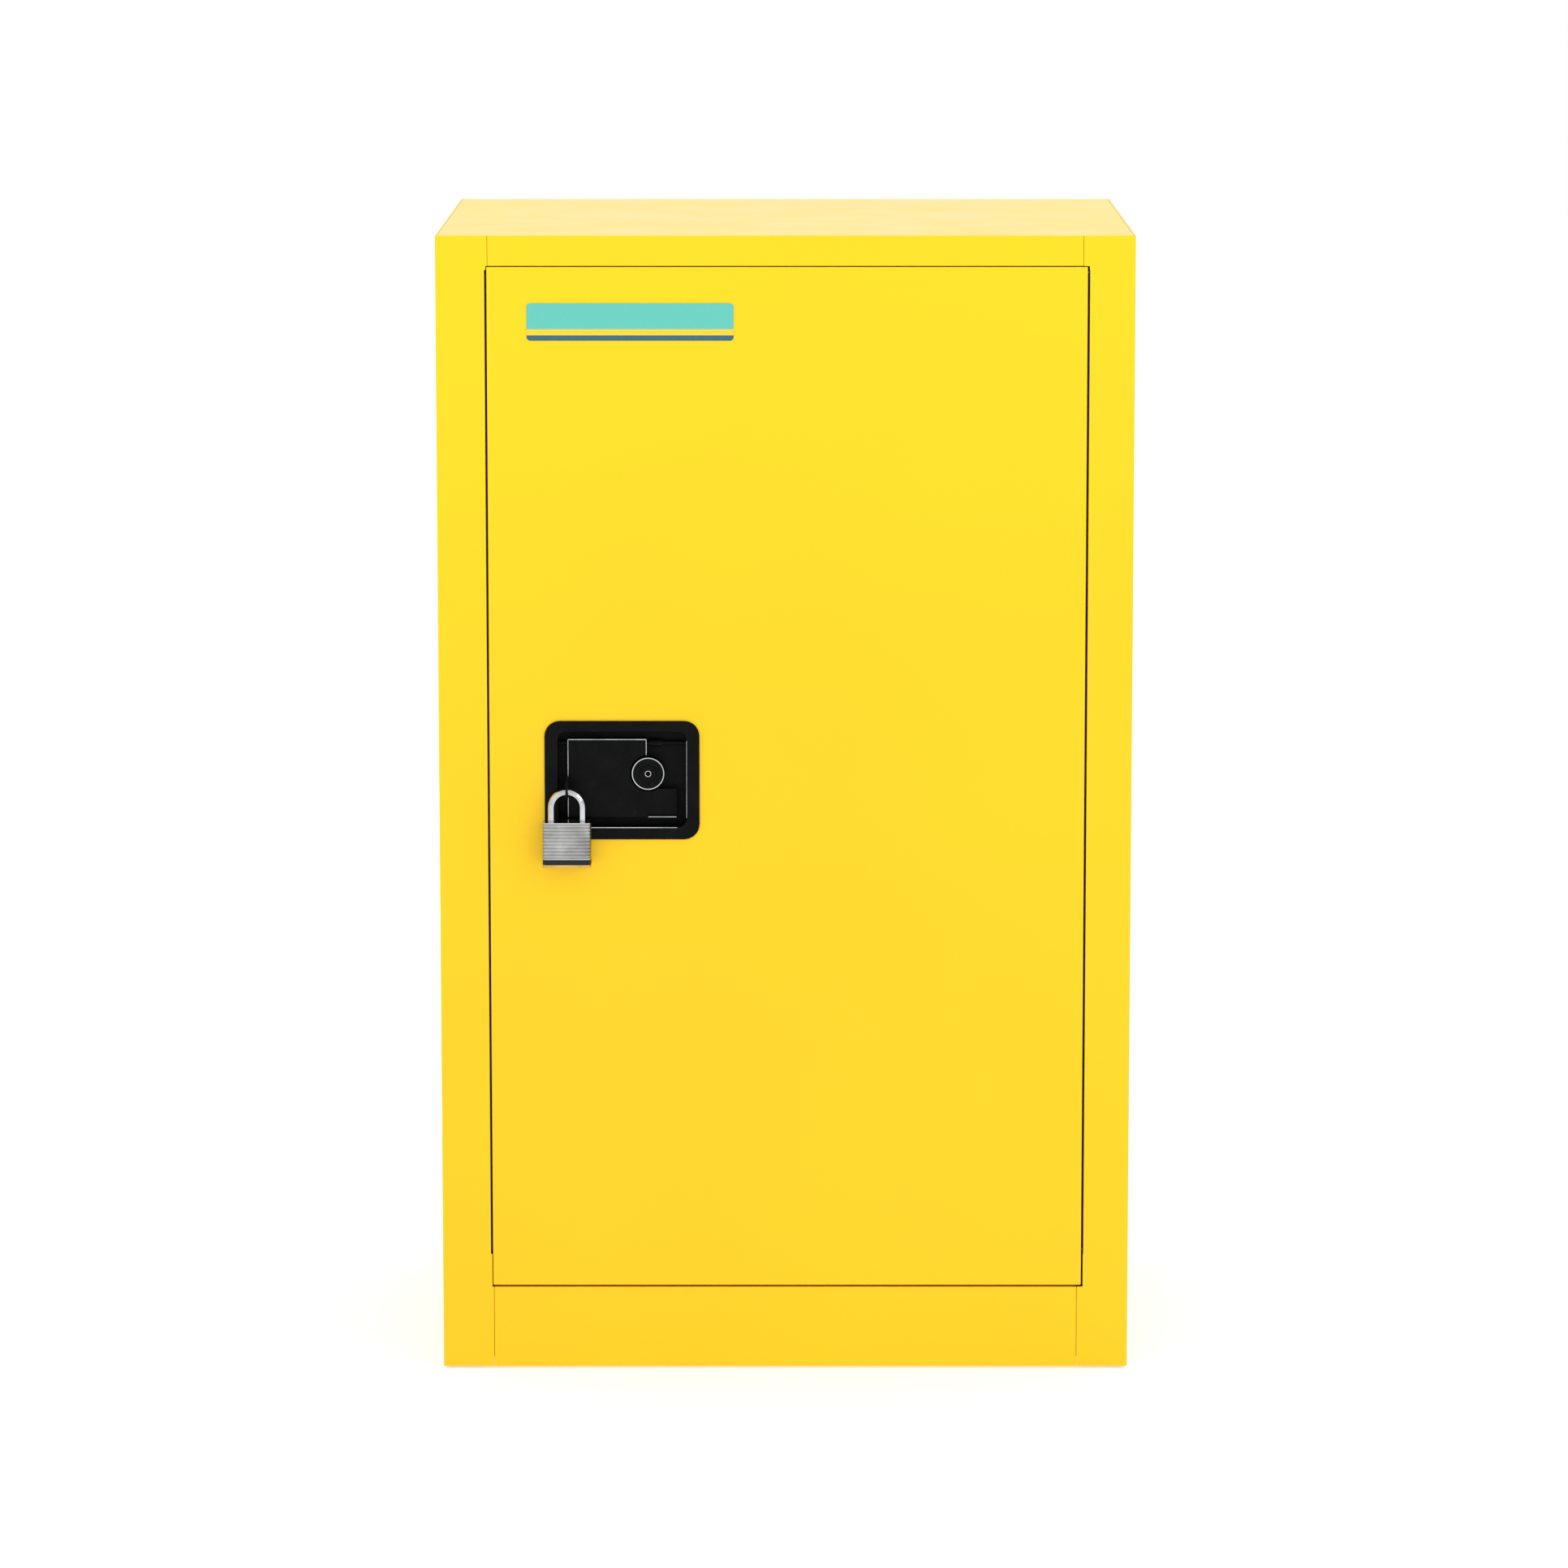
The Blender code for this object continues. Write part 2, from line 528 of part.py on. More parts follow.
def hinge(door):
    span = (HINGE_BOTTOM, HINGE_TOP)
    bore = drum("Z", (HINGE_X, HINGE_DEPTH), (0, 1), HINGE_BORE_RADIUS, 12)
    near = HINGE_X - BARREL_RADIUS
    frame_x = (near, near + SHEET)
    wall_inner = HALF_WIDTH - RIGHT_STILE - GAP

    def frame_tongue(z):
        return block(frame_x, (HINGE_DEPTH, HINGE_DEPTH + 0.004), z)

    web = block(frame_x, (HINGE_DEPTH + 0.0022, HINGE_DEPTH + 0.0067), span)
    crank = block((near, wall_inner), (HINGE_DEPTH + 0.0055, HINGE_DEPTH + 0.0067), span)
    leaf = block((wall_inner - SHEET, wall_inner), (HINGE_DEPTH + 0.0055, 0.0310), span)
    piece("hinge_frame_leaf", YELLOW, [web, crank, leaf, *barrel(0, frame_tongue)], [bore])

    front = HINGE_DEPTH - BARREL_RADIUS
    leaf_depth = (front, front + SHEET)

    def door_tongue(z):
        return block((HINGE_X - 0.004, HINGE_X), leaf_depth, z)

    bore = drum("Z", (HINGE_X, HINGE_DEPTH), (0, 1), HINGE_BORE_RADIUS, 12)
    leaf = block((HINGE_X - 0.022, HINGE_X - 0.0022), leaf_depth, span)
    piece("hinge_door_leaf", YELLOW, [leaf, *barrel(1, door_tongue)], [bore], door)
    pin = drum("Z", (HINGE_X, HINGE_DEPTH), (HINGE_BOTTOM - 0.001, HINGE_TOP + 0.001),
               HINGE_PIN_RADIUS, 12)
    piece("hinge_pin", ZINC, [pin])


# --- Door ------------------------------------------------------------------------------------------
def door_panels(door):
    inner_right = DOOR_RIGHT - 0.0065  # outer face of the pan's hinge-side wall
    height = (DOOR_BOTTOM, DOOR_TOP)
    skin = block((DOOR_LEFT, DOOR_RIGHT), (0, SHEET), height)
    left = block((DOOR_LEFT, DOOR_LEFT + SHEET), (0, SKIN_RETURN), height)
    top = block((DOOR_LEFT, inner_right), (0, SKIN_RETURN), (DOOR_TOP - SHEET, DOOR_TOP))
    bottom = block((DOOR_LEFT, inner_right), (0, SKIN_RETURN), (DOOR_BOTTOM, DOOR_BOTTOM + SHEET))
    cutout = block(*grown(RECESS_X, RECESS_Z, DISH_WALL + GAP, (-0.01, 0.01)), RECESS_RADIUS)
    piece("door_skin", YELLOW, [skin, left, top, bottom], [cutout], door)

    lap = SHEET + GAP
    x = (DOOR_LEFT + lap, inner_right)
    z = (DOOR_BOTTOM + lap, DOOR_TOP - lap)
    pan = block(x, (0.0030, DOOR_DEPTH), z)
    hollow = block((x[0] + SHEET, x[1] - SHEET), (-0.01, DOOR_DEPTH - SHEET), (z[0] + SHEET, z[1] - SHEET))
    opening = block(DOOR_COVER_X, INNER_FACE_CUT, DOOR_COVER_Z)
    cuts = [hollow, opening, bolt_slot((x[0] - 0.01, x[0] + 0.01)),
            rod_slot(TOP_ROD_X, (z[1] - 0.01, z[1] + 0.01)),
            rod_slot(BOTTOM_ROD_X, (z[0] - 0.01, z[0] + 0.01))]
    cuts += [drum("Y", spot, INNER_FACE_CUT, SCREW_HOLE_RADIUS, 12) for spot in cover_screws().values()]
    piece("door_inner_pan", LINER_YELLOW, [pan], cuts, door)


def grown(x, z, by, depth):
    """The arguments of a block that stands by more on each side of an opening in the door's plane."""
    return (x[0] - by, x[1] + by), depth, (z[0] - by, z[1] + by)


def cover_screws():
    middle = COVER_LAP / 2
    height = sum(DOOR_COVER_Z) / 2
    return {"left": (DOOR_COVER_X[0] - middle, height), "right": (DOOR_COVER_X[1] + middle, height)}


def latch_cover(door):
    face = (DOOR_DEPTH + GAP, DOOR_DEPTH + GAP + 0.0010)
    holes = [drum("Y", spot, INNER_FACE_CUT, SCREW_HOLE_RADIUS, 12) for spot in cover_screws().values()]
    plate = block(*grown(DOOR_COVER_X, DOOR_COVER_Z, COVER_LAP, face), 0.006)
    piece("latch_cover", YELLOW, [plate], holes, door)
    for name, spot in cover_screws().items():
        shank = drum("Y", spot, (DOOR_DEPTH - 0.0050, DOOR_DEPTH + 0.0020), 0.0020, 12)
        head = drum("Y", spot, (face[1] + GAP, face[1] + 0.0020), 0.0045, 16, 0.0035)
        piece(f"cover_screw_{name}", ZINC, [head, shank], parent=door)


def label(door):
    face = block(LABEL_X, (-GAP - LABEL_THICKNESS, -GAP), LABEL_Z, 0.003)
    piece("label_plate", TEAL, [face], parent=door)


# --- Handle ----------------------------------------------------------------------------------------
def handle_dish(door):
    flange = block(DISH_X, (-DISH_PROUD, -GAP), DISH_Z, DISH_RADIUS)
    cup = block(*grown(RECESS_X, RECESS_Z, DISH_WALL, (-0.001, RECESS_DEPTH + DISH_WALL)), RECESS_RADIUS)
    hollow = block(RECESS_X, (-0.01, RECESS_DEPTH), RECESS_Z, RECESS_RADIUS)
    lock_hole = drum("Y", (LOCK_X, LOCK_Z), (0.0, 0.03), LOCK_BODY_RADIUS + GAP, 24)
    tail_slot = block((TAIL_X[0] - 0.002, TAIL_X[1] + 0.002), (0.010, 0.025),
                      (0.5345, PADDLE_Z[1] + 0.0005))
    pin_hole = drum("X", (PADDLE_PIN_DEPTH, PADDLE_PIN_Z), (-0.205, -0.075), PADDLE_PIN_RADIUS + GAP, 12)
    piece("handle_dish", BLACK, [flange, cup], [hollow, lock_hole, tail_slot, pin_hole], door)


def paddle(door):
    """The flush pull: a plate with turned-back edges, ears on its pin, a tail and the padlock's lug."""
    axis = empty("paddle_axis", PADDLE_AXIS_X, PADDLE_PIN_DEPTH, PADDLE_PIN_Z, door)
    face = (PADDLE_FACE, PADDLE_FACE + PADDLE_SHEET)
    fold = (PADDLE_FACE, PADDLE_FACE + 0.0055)
    left, right = PADDLE_X
    low, high = PADDLE_Z
    main = block((left, PADDLE_STEP_X), face, (low, high))
    lower_right = block((PADDLE_STEP_X - 0.001, right), face, (low, PADDLE_LOWER_TOP))
    top_fold = block((left, PADDLE_STEP_X), (PADDLE_FACE, PADDLE_TOP_FOLD_DEPTH),
                     (high - PADDLE_SHEET, high))
    left_fold = block((left, left + PADDLE_SHEET), fold, (low, high))
    grip = block((PADDLE_GRIP_X, right), (PADDLE_FACE - 0.0035, face[1]), (low, low + PADDLE_SHEET))
    lug_x = (SHACKLE_X - LUG_HALF_THICKNESS, SHACKLE_X + LUG_HALF_THICKNESS)
    lug = block(lug_x, (-LUG_PROUD, face[1]), LUG_Z, 0.006, "X")
    lug_root = block((lug_x[0], left + 0.002), (0.002, face[1]), LUG_Z)
    tail = block(TAIL_X, TAIL_DEPTH, (PADDLE_PIN_Z - 0.0010, high))
    lock_room = drum("Y", (LOCK_X, LOCK_Z), (-0.01, 0.03), LOCK_RADIUS + 0.0016, 32)
    pin_bore = drum("X", (PADDLE_PIN_DEPTH, PADDLE_PIN_Z), (-0.21, -0.07), PADDLE_PIN_RADIUS + GAP, 12)
    lug_bore = drum("X", (SHACKLE_DEPTH, SHACKLE_BEND_Z + SHACKLE_BEND + 0.0012), (-0.200, -0.170),
                    LUG_BORE_RADIUS, 16)
    piece("paddle", BLACK, [main, lower_right, top_fold, left_fold, grip, lug, lug_root, *ears(), tail],
          [lock_room, pin_bore, lug_bore], axis)
    pin = drum("X", (PADDLE_PIN_DEPTH, PADDLE_PIN_Z), (RECESS_X[0] - 0.0010, RECESS_X[1] + 0.0010),
               PADDLE_PIN_RADIUS, 12)
    piece("paddle_pin", BLACK, [pin], parent=door)
    return axis


def ears():
    """The paddle's two ears, stepped at the back so that they clear the dish as the paddle turns."""
    bottom = PADDLE_PIN_Z - 0.0045
    steps = ((EAR_DEPTH, PADDLE_PIN_Z + 0.0015), (PADDLE_TOP_FOLD_DEPTH, PADDLE_Z[1] - 0.0005))
    return [block((x, x + PADDLE_SHEET), (PADDLE_FACE, back), (bottom, top))
            for x in (PADDLE_X[0] + 0.004, PADDLE_STEP_X - 0.008)
            for back, top in steps]


def paddle_spring(door):
    """A torsion spring round the pin: a short coil drawn as its sleeve, open at both ends."""
    x = (PADDLE_STEP_X + 0.0020, PADDLE_STEP_X + 0.0140)
    sleeve = drum("X", (PADDLE_PIN_DEPTH, PADDLE_PIN_Z), x, 0.0034, 16)
    bore = drum("X", (PADDLE_PIN_DEPTH, PADDLE_PIN_Z), (x[0] - 0.01, x[1] + 0.01), 0.0024, 16)
    piece("paddle_spring", BLACK, [sleeve], [bore], door)


def key_lock(door):
    centre = (LOCK_X, LOCK_Z)
    face = drum("Y", centre, (LOCK_FACE, 0.0155), LOCK_RADIUS, 40)
    body = drum("Y", centre, (0.0150, LOCK_BODY_BACK), LOCK_BODY_RADIUS, 24)
    bore = drum("Y", centre, (-0.01, 0.03), PLUG_RADIUS + GAP, 32)
    piece("lock_housing", BLACK, [face, body], [bore], door)
    axis = empty("lock_axis", LOCK_X, LOCK_FACE, LOCK_Z, door)
    barrel_solid = drum("Y", centre, (LOCK_FACE - 0.0004, PLUG_BACK), PLUG_RADIUS, 32)
    tongue = block((LOCK_X - 0.003, LOCK_X + 0.003), (LOCK_BODY_BACK + 0.0007, PLUG_BACK),
                   (LOCK_Z, LOCK_Z + 0.018))
    keyway = block((LOCK_X - KEYWAY_HALF_WIDTH, LOCK_X + KEYWAY_HALF_WIDTH), (0, 0.012),
                   (LOCK_Z - 0.0028, LOCK_Z + 0.0028))
    piece("lock_plug", BLACK, [barrel_solid, tongue], [keyway], axis)


# --- Three-point latch -----------------------------------------------------------------------------
def latch(door):
    centre = (CAM_X, CAM_Z)
    through = (LATCH_PLATE_DEPTH[0] - 0.01, CAM_DEPTH[1] + 0.01)
    plate = block(LATCH_PLATE_X, LATCH_PLATE_DEPTH, LATCH_PLATE_Z, 0.004)
    holes = [drum("Y", centre, through, PIVOT_BORE_RADIUS, 20),
             block((TAIL_X[0] - 0.0025, TAIL_X[1] + 0.0025), through, (0.5335, 0.5600))]
    piece("latch_plate", ZINC, [plate], holes, door)
    shaft = drum("Y", centre, (LATCH_PLATE_DEPTH[0], 0.0255), PIVOT_RADIUS, 20)
    head = drum("Y", centre, (CAM_DEPTH[1] + GAP, 0.0265), PIVOT_RADIUS + 0.0020, 20)
    piece("cam_pivot", ZINC, [shaft, head], parent=door)

    axis = empty("cam_axis", CAM_X, CAM_DEPTH[0], CAM_Z, door)
    disc = drum("Y", centre, CAM_DEPTH, CAM_RADIUS, 32)
    studs = []
    for dx, dz, back in ((STUD_RING, 0, ROD_DEPTH[1]), (-STUD_RING, 0, ROD_DEPTH[1]),
                         (0, STUD_RING, BOLT_DEPTH[1])):
        studs.append(drum("Y", (CAM_X + dx, CAM_Z + dz), (CAM_DEPTH[1] - 0.001, back), STUD_RADIUS, 12))
    bore = drum("Y", centre, through, PIVOT_BORE_RADIUS, 20)
    piece("latch_cam", ZINC, [disc, *studs], [bore], axis)


def lock_rods(door):
    """Two flat rods and the side bolt, each driven by a stud of the cam in a slot of its eye."""
    clear = STUD_RADIUS + 0.0007
    swing = STUD_RING - (STUD_RING**2 - BOLT_TRAVEL**2) ** 0.5  # a stud's sideways drift as it turns
    through = (ROD_DEPTH[0] - 0.005, BOLT_DEPTH[1] + 0.005)
    for name, side, x, tip in (("top_rod", 1, TOP_ROD_X, DOOR_TOP + BOLT_REACH),
                               ("bottom_rod", -1, BOTTOM_ROD_X, DOOR_BOTTOM - BOLT_REACH)):
        stud_x = CAM_X + side * STUD_RING
        slot_x = sorted((stud_x + side * clear, stud_x - side * (clear + swing)))
        eye = block((slot_x[0] - EYE_WALL, slot_x[1] + EYE_WALL), ROD_DEPTH,
                    (CAM_Z - EYE_HALF_HEIGHT, CAM_Z + EYE_HALF_HEIGHT))
        bar = block((x - ROD_HALF_WIDTH, x + ROD_HALF_WIDTH), ROD_DEPTH,
                    sorted((CAM_Z + side * 0.004, tip)))
        slot = block(slot_x, through, (CAM_Z - clear, CAM_Z + clear))
        axis = empty(f"{name}_axis", x, ROD_DEPTH[0], CAM_Z, door)
        piece(name, ZINC, [eye, bar], [slot], axis)
    middle = CAM_Z + STUD_RING
    slot_z = (middle - clear - swing, middle + clear)
    eye = block((CAM_X - EYE_HALF_HEIGHT, CAM_X + EYE_HALF_HEIGHT), BOLT_DEPTH,
                (slot_z[0] - EYE_WALL, slot_z[1] + EYE_WALL))
    bar = block((DOOR_LEFT - BOLT_REACH, CAM_X - 0.004), BOLT_DEPTH,
                (middle - BOLT_HALF_HEIGHT, middle + BOLT_HALF_HEIGHT))
    slot = block((CAM_X - clear, CAM_X + clear), through, slot_z)
    axis = empty("side_bolt_axis", CAM_X, BOLT_DEPTH[0], middle, door)
    piece("side_bolt", ZINC, [eye, bar], [slot], axis)


def rod_guides(door):
    for name, x, z in (("top_rod_guide", TOP_ROD_X, (0.9000, 0.9160)),
                       ("bottom_rod_guide", BOTTOM_ROD_X, (0.1100, 0.1260))):
        body = block((x - 0.014, x + 0.014), (0.0230, DOOR_DEPTH - SHEET - GAP), z)
        clear = ROD_HALF_WIDTH + 0.0006
        slot = block((x - clear, x + clear), (ROD_DEPTH[0] - 0.0006, ROD_DEPTH[1] + 0.0006),
                     (z[0] - 0.01, z[1] + 0.01))
        piece(name, ZINC, [body], [slot], door)


# --- Padlock ---------------------------------------------------------------------------------------
def shackle(axis):
    """A round bar bent to a U, both legs down into the case. The heel leg is the long one."""
    toe_x = SHACKLE_X - SHACKLE_BEND
    heel_x = SHACKLE_X + SHACKLE_BEND
    curve = bpy.data.curves.new("shackle_route", "CURVE")
    curve.dimensions = "3D"
    curve.bevel_depth = SHACKLE_RADIUS
    curve.bevel_resolution = 2
    curve.use_fill_caps = True
    y = FRONT_Y + SHACKLE_DEPTH
    steps = 14
    points = [(toe_x, y, CASE_Z[1] - TOE_LEG_INSIDE)]
    for step in range(steps + 1):
        turn = Matrix.Rotation(radians(180 * step / steps), 3, "Y")
        points.append(Vector((SHACKLE_X, y, SHACKLE_BEND_Z)) + turn @ Vector((-SHACKLE_BEND, 0, 0)))
    points.append((heel_x, y, CASE_Z[1] - HEEL_LEG_INSIDE))
    spline = curve.splines.new("POLY")
    spline.points.add(len(points) - 1)
    for target, point in zip(spline.points, points):
        target.co = (*point, 1)
    route = bpy.data.objects.new("shackle_route", curve)
    CUTTERS.objects.link(route)
    mesh = bpy.data.meshes.new_from_object(route.evaluated_get(bpy.context.evaluated_depsgraph_get()))
    editor = bmesh.new()
    editor.from_mesh(mesh)
    bmesh.ops.remove_doubles(editor, verts=editor.verts, dist=0.00001)
    bpy.data.objects.remove(route)
    piece("padlock_shackle", CHROME, [solid_from(editor)], parent=axis)


def padlock(paddle_axis):
    top = SHACKLE_BEND_Z + SHACKLE_BEND
    swing = empty("padlock_swing_axis", SHACKLE_X, SHACKLE_DEPTH, top, paddle_axis)
    shackle(swing)
    case_axis = empty("padlock_case_axis", SHACKLE_X, SHACKLE_DEPTH, CASE_Z[1], swing)
    thick = (SHACKLE_DEPTH - CASE_THICKNESS / 2, SHACKLE_DEPTH + CASE_THICKNESS / 2)
    body = block(CASE_X, thick, CASE_Z, 0.0035, "Z")
    over = SHACKLE_BEND_Z + 0.1
    toe = drum("Z", (SHACKLE_X - SHACKLE_BEND, SHACKLE_DEPTH), (CASE_Z[1] - TOE_BORE_DEPTH, over),
               LEG_BORE_RADIUS, 16)
    heel = drum("Z", (SHACKLE_X + SHACKLE_BEND, SHACKLE_DEPTH), (CASE_Z[1] - HEEL_BORE_DEPTH, over),
                LEG_BORE_RADIUS, 16)
    cylinder_top = CASE_Z[0] + CYLINDER_LENGTH
    key_hole = drum("Z", (SHACKLE_X, SHACKLE_DEPTH), (CASE_Z[0] - 0.04, cylinder_top + 0.0005), 0.0063, 24)
    piece("padlock_case", ZINC, [body], [toe, heel, key_hole], case_axis)
    key_axis = empty("padlock_key_axis", SHACKLE_X, SHACKLE_DEPTH, CASE_Z[0], case_axis)
    plug = drum("Z", (SHACKLE_X, SHACKLE_DEPTH), (CASE_Z[0], cylinder_top), 0.0060, 24)
    keyway = block((SHACKLE_X - KEYWAY_HALF_WIDTH, SHACKLE_X + KEYWAY_HALF_WIDTH),
                   (SHACKLE_DEPTH - 0.0035, SHACKLE_DEPTH + 0.0035), (CASE_Z[0] - 0.04, CASE_Z[0] + 0.012))
    piece("padlock_plug", BRASS, [plug], [keyway], key_axis)


def build():
    side_panel("left_side_panel", -1, LEFT_STILE, DOOR_LEFT, LATCH_END_GAP)
    side_panel("right_side_panel", 1, RIGHT_STILE, DOOR_RIGHT, HINGE_END_GAP)
    top_and_plinth()
    back_and_base()
    levelling_feet()
    liners()
    shelf_and_brackets()
    vents()
    earthing_point()
    strikes()
    door = empty("door_hinge_axis", HINGE_X, HINGE_DEPTH, 0.5)
    hinge(door)
    door_panels(door)
    latch_cover(door)
    label(door)
    handle_dish(door)
    paddle_axis = paddle(door)
    paddle_spring(door)
    key_lock(door)
    latch(door)
    lock_rods(door)
    rod_guides(door)
    padlock(paddle_axis)


build()
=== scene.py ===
"""Looks of the storage cabinet: powder coat, black handle, laminated padlock, studio and camera."""
import json
from math import cos, pi, radians, sin

import bmesh
import bpy
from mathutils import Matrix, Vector


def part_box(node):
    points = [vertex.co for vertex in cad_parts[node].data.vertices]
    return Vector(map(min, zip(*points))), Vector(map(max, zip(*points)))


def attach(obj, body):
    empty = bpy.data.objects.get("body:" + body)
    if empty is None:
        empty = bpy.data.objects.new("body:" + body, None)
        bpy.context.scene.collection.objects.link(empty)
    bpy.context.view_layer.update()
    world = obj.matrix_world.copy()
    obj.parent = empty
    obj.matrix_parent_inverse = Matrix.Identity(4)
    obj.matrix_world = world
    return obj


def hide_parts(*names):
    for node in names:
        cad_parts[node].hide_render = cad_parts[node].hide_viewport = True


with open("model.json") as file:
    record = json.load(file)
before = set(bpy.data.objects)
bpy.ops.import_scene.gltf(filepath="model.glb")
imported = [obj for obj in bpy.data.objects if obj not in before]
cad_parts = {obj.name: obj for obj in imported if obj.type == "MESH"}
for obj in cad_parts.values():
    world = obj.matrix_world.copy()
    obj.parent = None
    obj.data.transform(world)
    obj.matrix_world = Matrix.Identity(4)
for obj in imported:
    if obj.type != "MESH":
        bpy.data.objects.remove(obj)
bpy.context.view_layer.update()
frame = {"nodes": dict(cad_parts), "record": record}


# --- Node helpers ---------------------------------------------------------------------------------
MIX_COLOUR_A = 6  # the Mix node's colour sockets share their names with its number sockets
MIX_COLOUR_B = 7
MIX_COLOUR_RESULT = 2


def srgb(red, green, blue):
    """Linear RGB with alpha from 0-255 display values."""
    def linear(value):
        value /= 255
        return value / 12.92 if value <= 0.04045 else ((value + 0.055) / 1.055) ** 2.4
    return (linear(red), linear(green), linear(blue), 1.0)


class Nodes:
    """A material's node tree with short calls for the nodes used here, all placed in object space."""

    def __init__(self, name):
        self.material = bpy.data.materials.new(name)
        self.material.use_nodes = True
        self.tree = self.material.node_tree
        self.shader = self.tree.nodes["Principled BSDF"]
        coordinates = self.tree.nodes.new("ShaderNodeTexCoord")
        self.place = coordinates.outputs["Object"]

    def link(self, output, target):
        self.tree.links.new(output, target)

    def noise(self, scale, detail=3.0, stretch=None, roughness=0.5):
        node = self.tree.nodes.new("ShaderNodeTexNoise")
        node.inputs["Scale"].default_value = scale
        node.inputs["Detail"].default_value = detail
        node.inputs["Roughness"].default_value = roughness
        source = self.place
        if stretch:
            mapping = self.tree.nodes.new("ShaderNodeMapping")
            mapping.inputs["Scale"].default_value = stretch
            self.link(self.place, mapping.inputs["Vector"])
            source = mapping.outputs["Vector"]
        self.link(source, node.inputs["Vector"])
        return node.outputs["Fac"]

    def ramp(self, value, stops):
        node = self.tree.nodes.new("ShaderNodeValToRGB")
        elements = node.color_ramp.elements
        while len(elements) < len(stops):
            elements.new(0.5)
        for element, (position, colour) in zip(elements, stops):
            element.position = position
            element.color = colour
        self.link(value, node.inputs["Fac"])
        return node.outputs["Color"]

    def spread(self, value, low, high, source_low=0.3, source_high=0.7):
        node = self.tree.nodes.new("ShaderNodeMapRange")
        for socket, number in (("From Min", source_low), ("From Max", source_high), ("To Min", low),
                               ("To Max", high)):
            node.inputs[socket].default_value = number
        self.link(value, node.inputs["Value"])
        return node.outputs["Result"]

    def mix(self, factor, first, second):
        node = self.tree.nodes.new("ShaderNodeMix")
        node.data_type = "RGBA"
        sockets = (node.inputs["Factor"], node.inputs[MIX_COLOUR_A], node.inputs[MIX_COLOUR_B])
        for socket, value in zip(sockets, (factor, first, second)):
            if hasattr(value, "is_output"):
                self.link(value, socket)
            else:
                socket.default_value = value
        return node.outputs[MIX_COLOUR_RESULT]

    def bump(self, height, strength, distance, under=None):
        node = self.tree.nodes.new("ShaderNodeBump")
        node.inputs["Strength"].default_value = strength
        node.inputs["Distance"].default_value = distance
        self.link(height, node.inputs["Height"])
        if under is not None:
            self.link(under, node.inputs["Normal"])
        return node.outputs["Normal"]


# --- Materials -------------------------------------------------------------------------------------
def powder_coat(name, low, high, roughness):
    """Enamel on steel: slow colour drift, painted light that makes the colour paler and yellower towards
    the top, fine orange peel and faint handling marks.
    """
    nodes = Nodes(name)
    drift = nodes.ramp(nodes.noise(2.2, 2.0), [(0.30, low), (0.70, high)])
    # Painted light: the colour runs from the lower tone at the bottom to the paler one at the top, as if
    # lit from above, and outweighs the random drift.
    height = nodes.tree.nodes.new("ShaderNodeSeparateXYZ")
    nodes.link(nodes.place, height.inputs["Vector"])
    painted_height_light = nodes.spread(height.outputs["Z"], 0.0, 1.0, 0.05, 0.95)
    drift_and_painted_light = nodes.mix(0.7, drift, nodes.ramp(painted_height_light, [(0.0, low), (1.0, high)]))
    nodes.link(drift_and_painted_light, nodes.shader.inputs["Base Color"])
    smudge = nodes.noise(14.0, 5.0, roughness=0.6)
    nodes.link(nodes.spread(smudge, roughness - 0.05, roughness + 0.07), nodes.shader.inputs["Roughness"])
    nodes.shader.inputs["Specular IOR Level"].default_value = 0.20
    nodes.shader.inputs["Coat Weight"].default_value = 0.25
    nodes.shader.inputs["Coat Roughness"].default_value = 0.12
    peel = nodes.bump(nodes.noise(620.0, 2.0), 0.10, 0.00025)
    waves = nodes.bump(nodes.noise(9.0, 2.0), 0.05, 0.002, peel)
    nodes.link(waves, nodes.shader.inputs["Normal"])
    return nodes.material


def black_enamel(name, texture, gloss):
    """Black paint or moulding: a little cloudy, with faint rubbed spots and a fine grain."""
    nodes = Nodes(name)
    tone = nodes.ramp(nodes.noise(60.0, 4.0), [(0.3, srgb(5, 7, 5)), (0.7, srgb(13, 15, 13))])
    spots = nodes.spread(nodes.noise(130.0, 5.0, roughness=0.7), 0.0, 0.12, 0.62, 0.78)
    nodes.link(nodes.mix(spots, tone, srgb(70, 72, 71)), nodes.shader.inputs["Base Color"])
    nodes.link(nodes.spread(nodes.noise(35.0, 4.0), 0.34, 0.50), nodes.shader.inputs["Roughness"])
    nodes.shader.inputs["Specular IOR Level"].default_value = gloss
    grain = nodes.bump(nodes.noise(900.0, 3.0), texture, 0.0003)
    nodes.link(grain, nodes.shader.inputs["Normal"])
    return nodes.material


def plated_steel(name, dark, light, roughness, grain_scale, spangle=0.0, stretch=(1, 1, 1)):
    """Bare, galvanised or plated metal: brushed grain, cloudy tone and slight tarnish."""
    nodes = Nodes(name)
    cloud = nodes.ramp(nodes.noise(45.0, 4.0), [(0.25, dark), (0.75, light)])
    if spangle:
        crystals = nodes.tree.nodes.new("ShaderNodeTexVoronoi")
        crystals.inputs["Scale"].default_value = 90.0
        nodes.link(nodes.place, crystals.inputs["Vector"])
        flake = nodes.tree.nodes.new("ShaderNodeSeparateColor")
        nodes.link(crystals.outputs["Color"], flake.inputs["Color"])
        tone = nodes.ramp(flake.outputs["Red"], [(0.0, dark), (1.0, light)])
        cloud = nodes.mix(spangle, cloud, tone)
    nodes.link(cloud, nodes.shader.inputs["Base Color"])
    nodes.shader.inputs["Metallic"].default_value = 1.0
    smear = nodes.noise(grain_scale, 4.0, stretch)
    nodes.link(nodes.spread(smear, roughness * 0.75, roughness * 1.35), nodes.shader.inputs["Roughness"])
    nodes.link(nodes.bump(smear, 0.12, 0.0002), nodes.shader.inputs["Normal"])
    return nodes.material


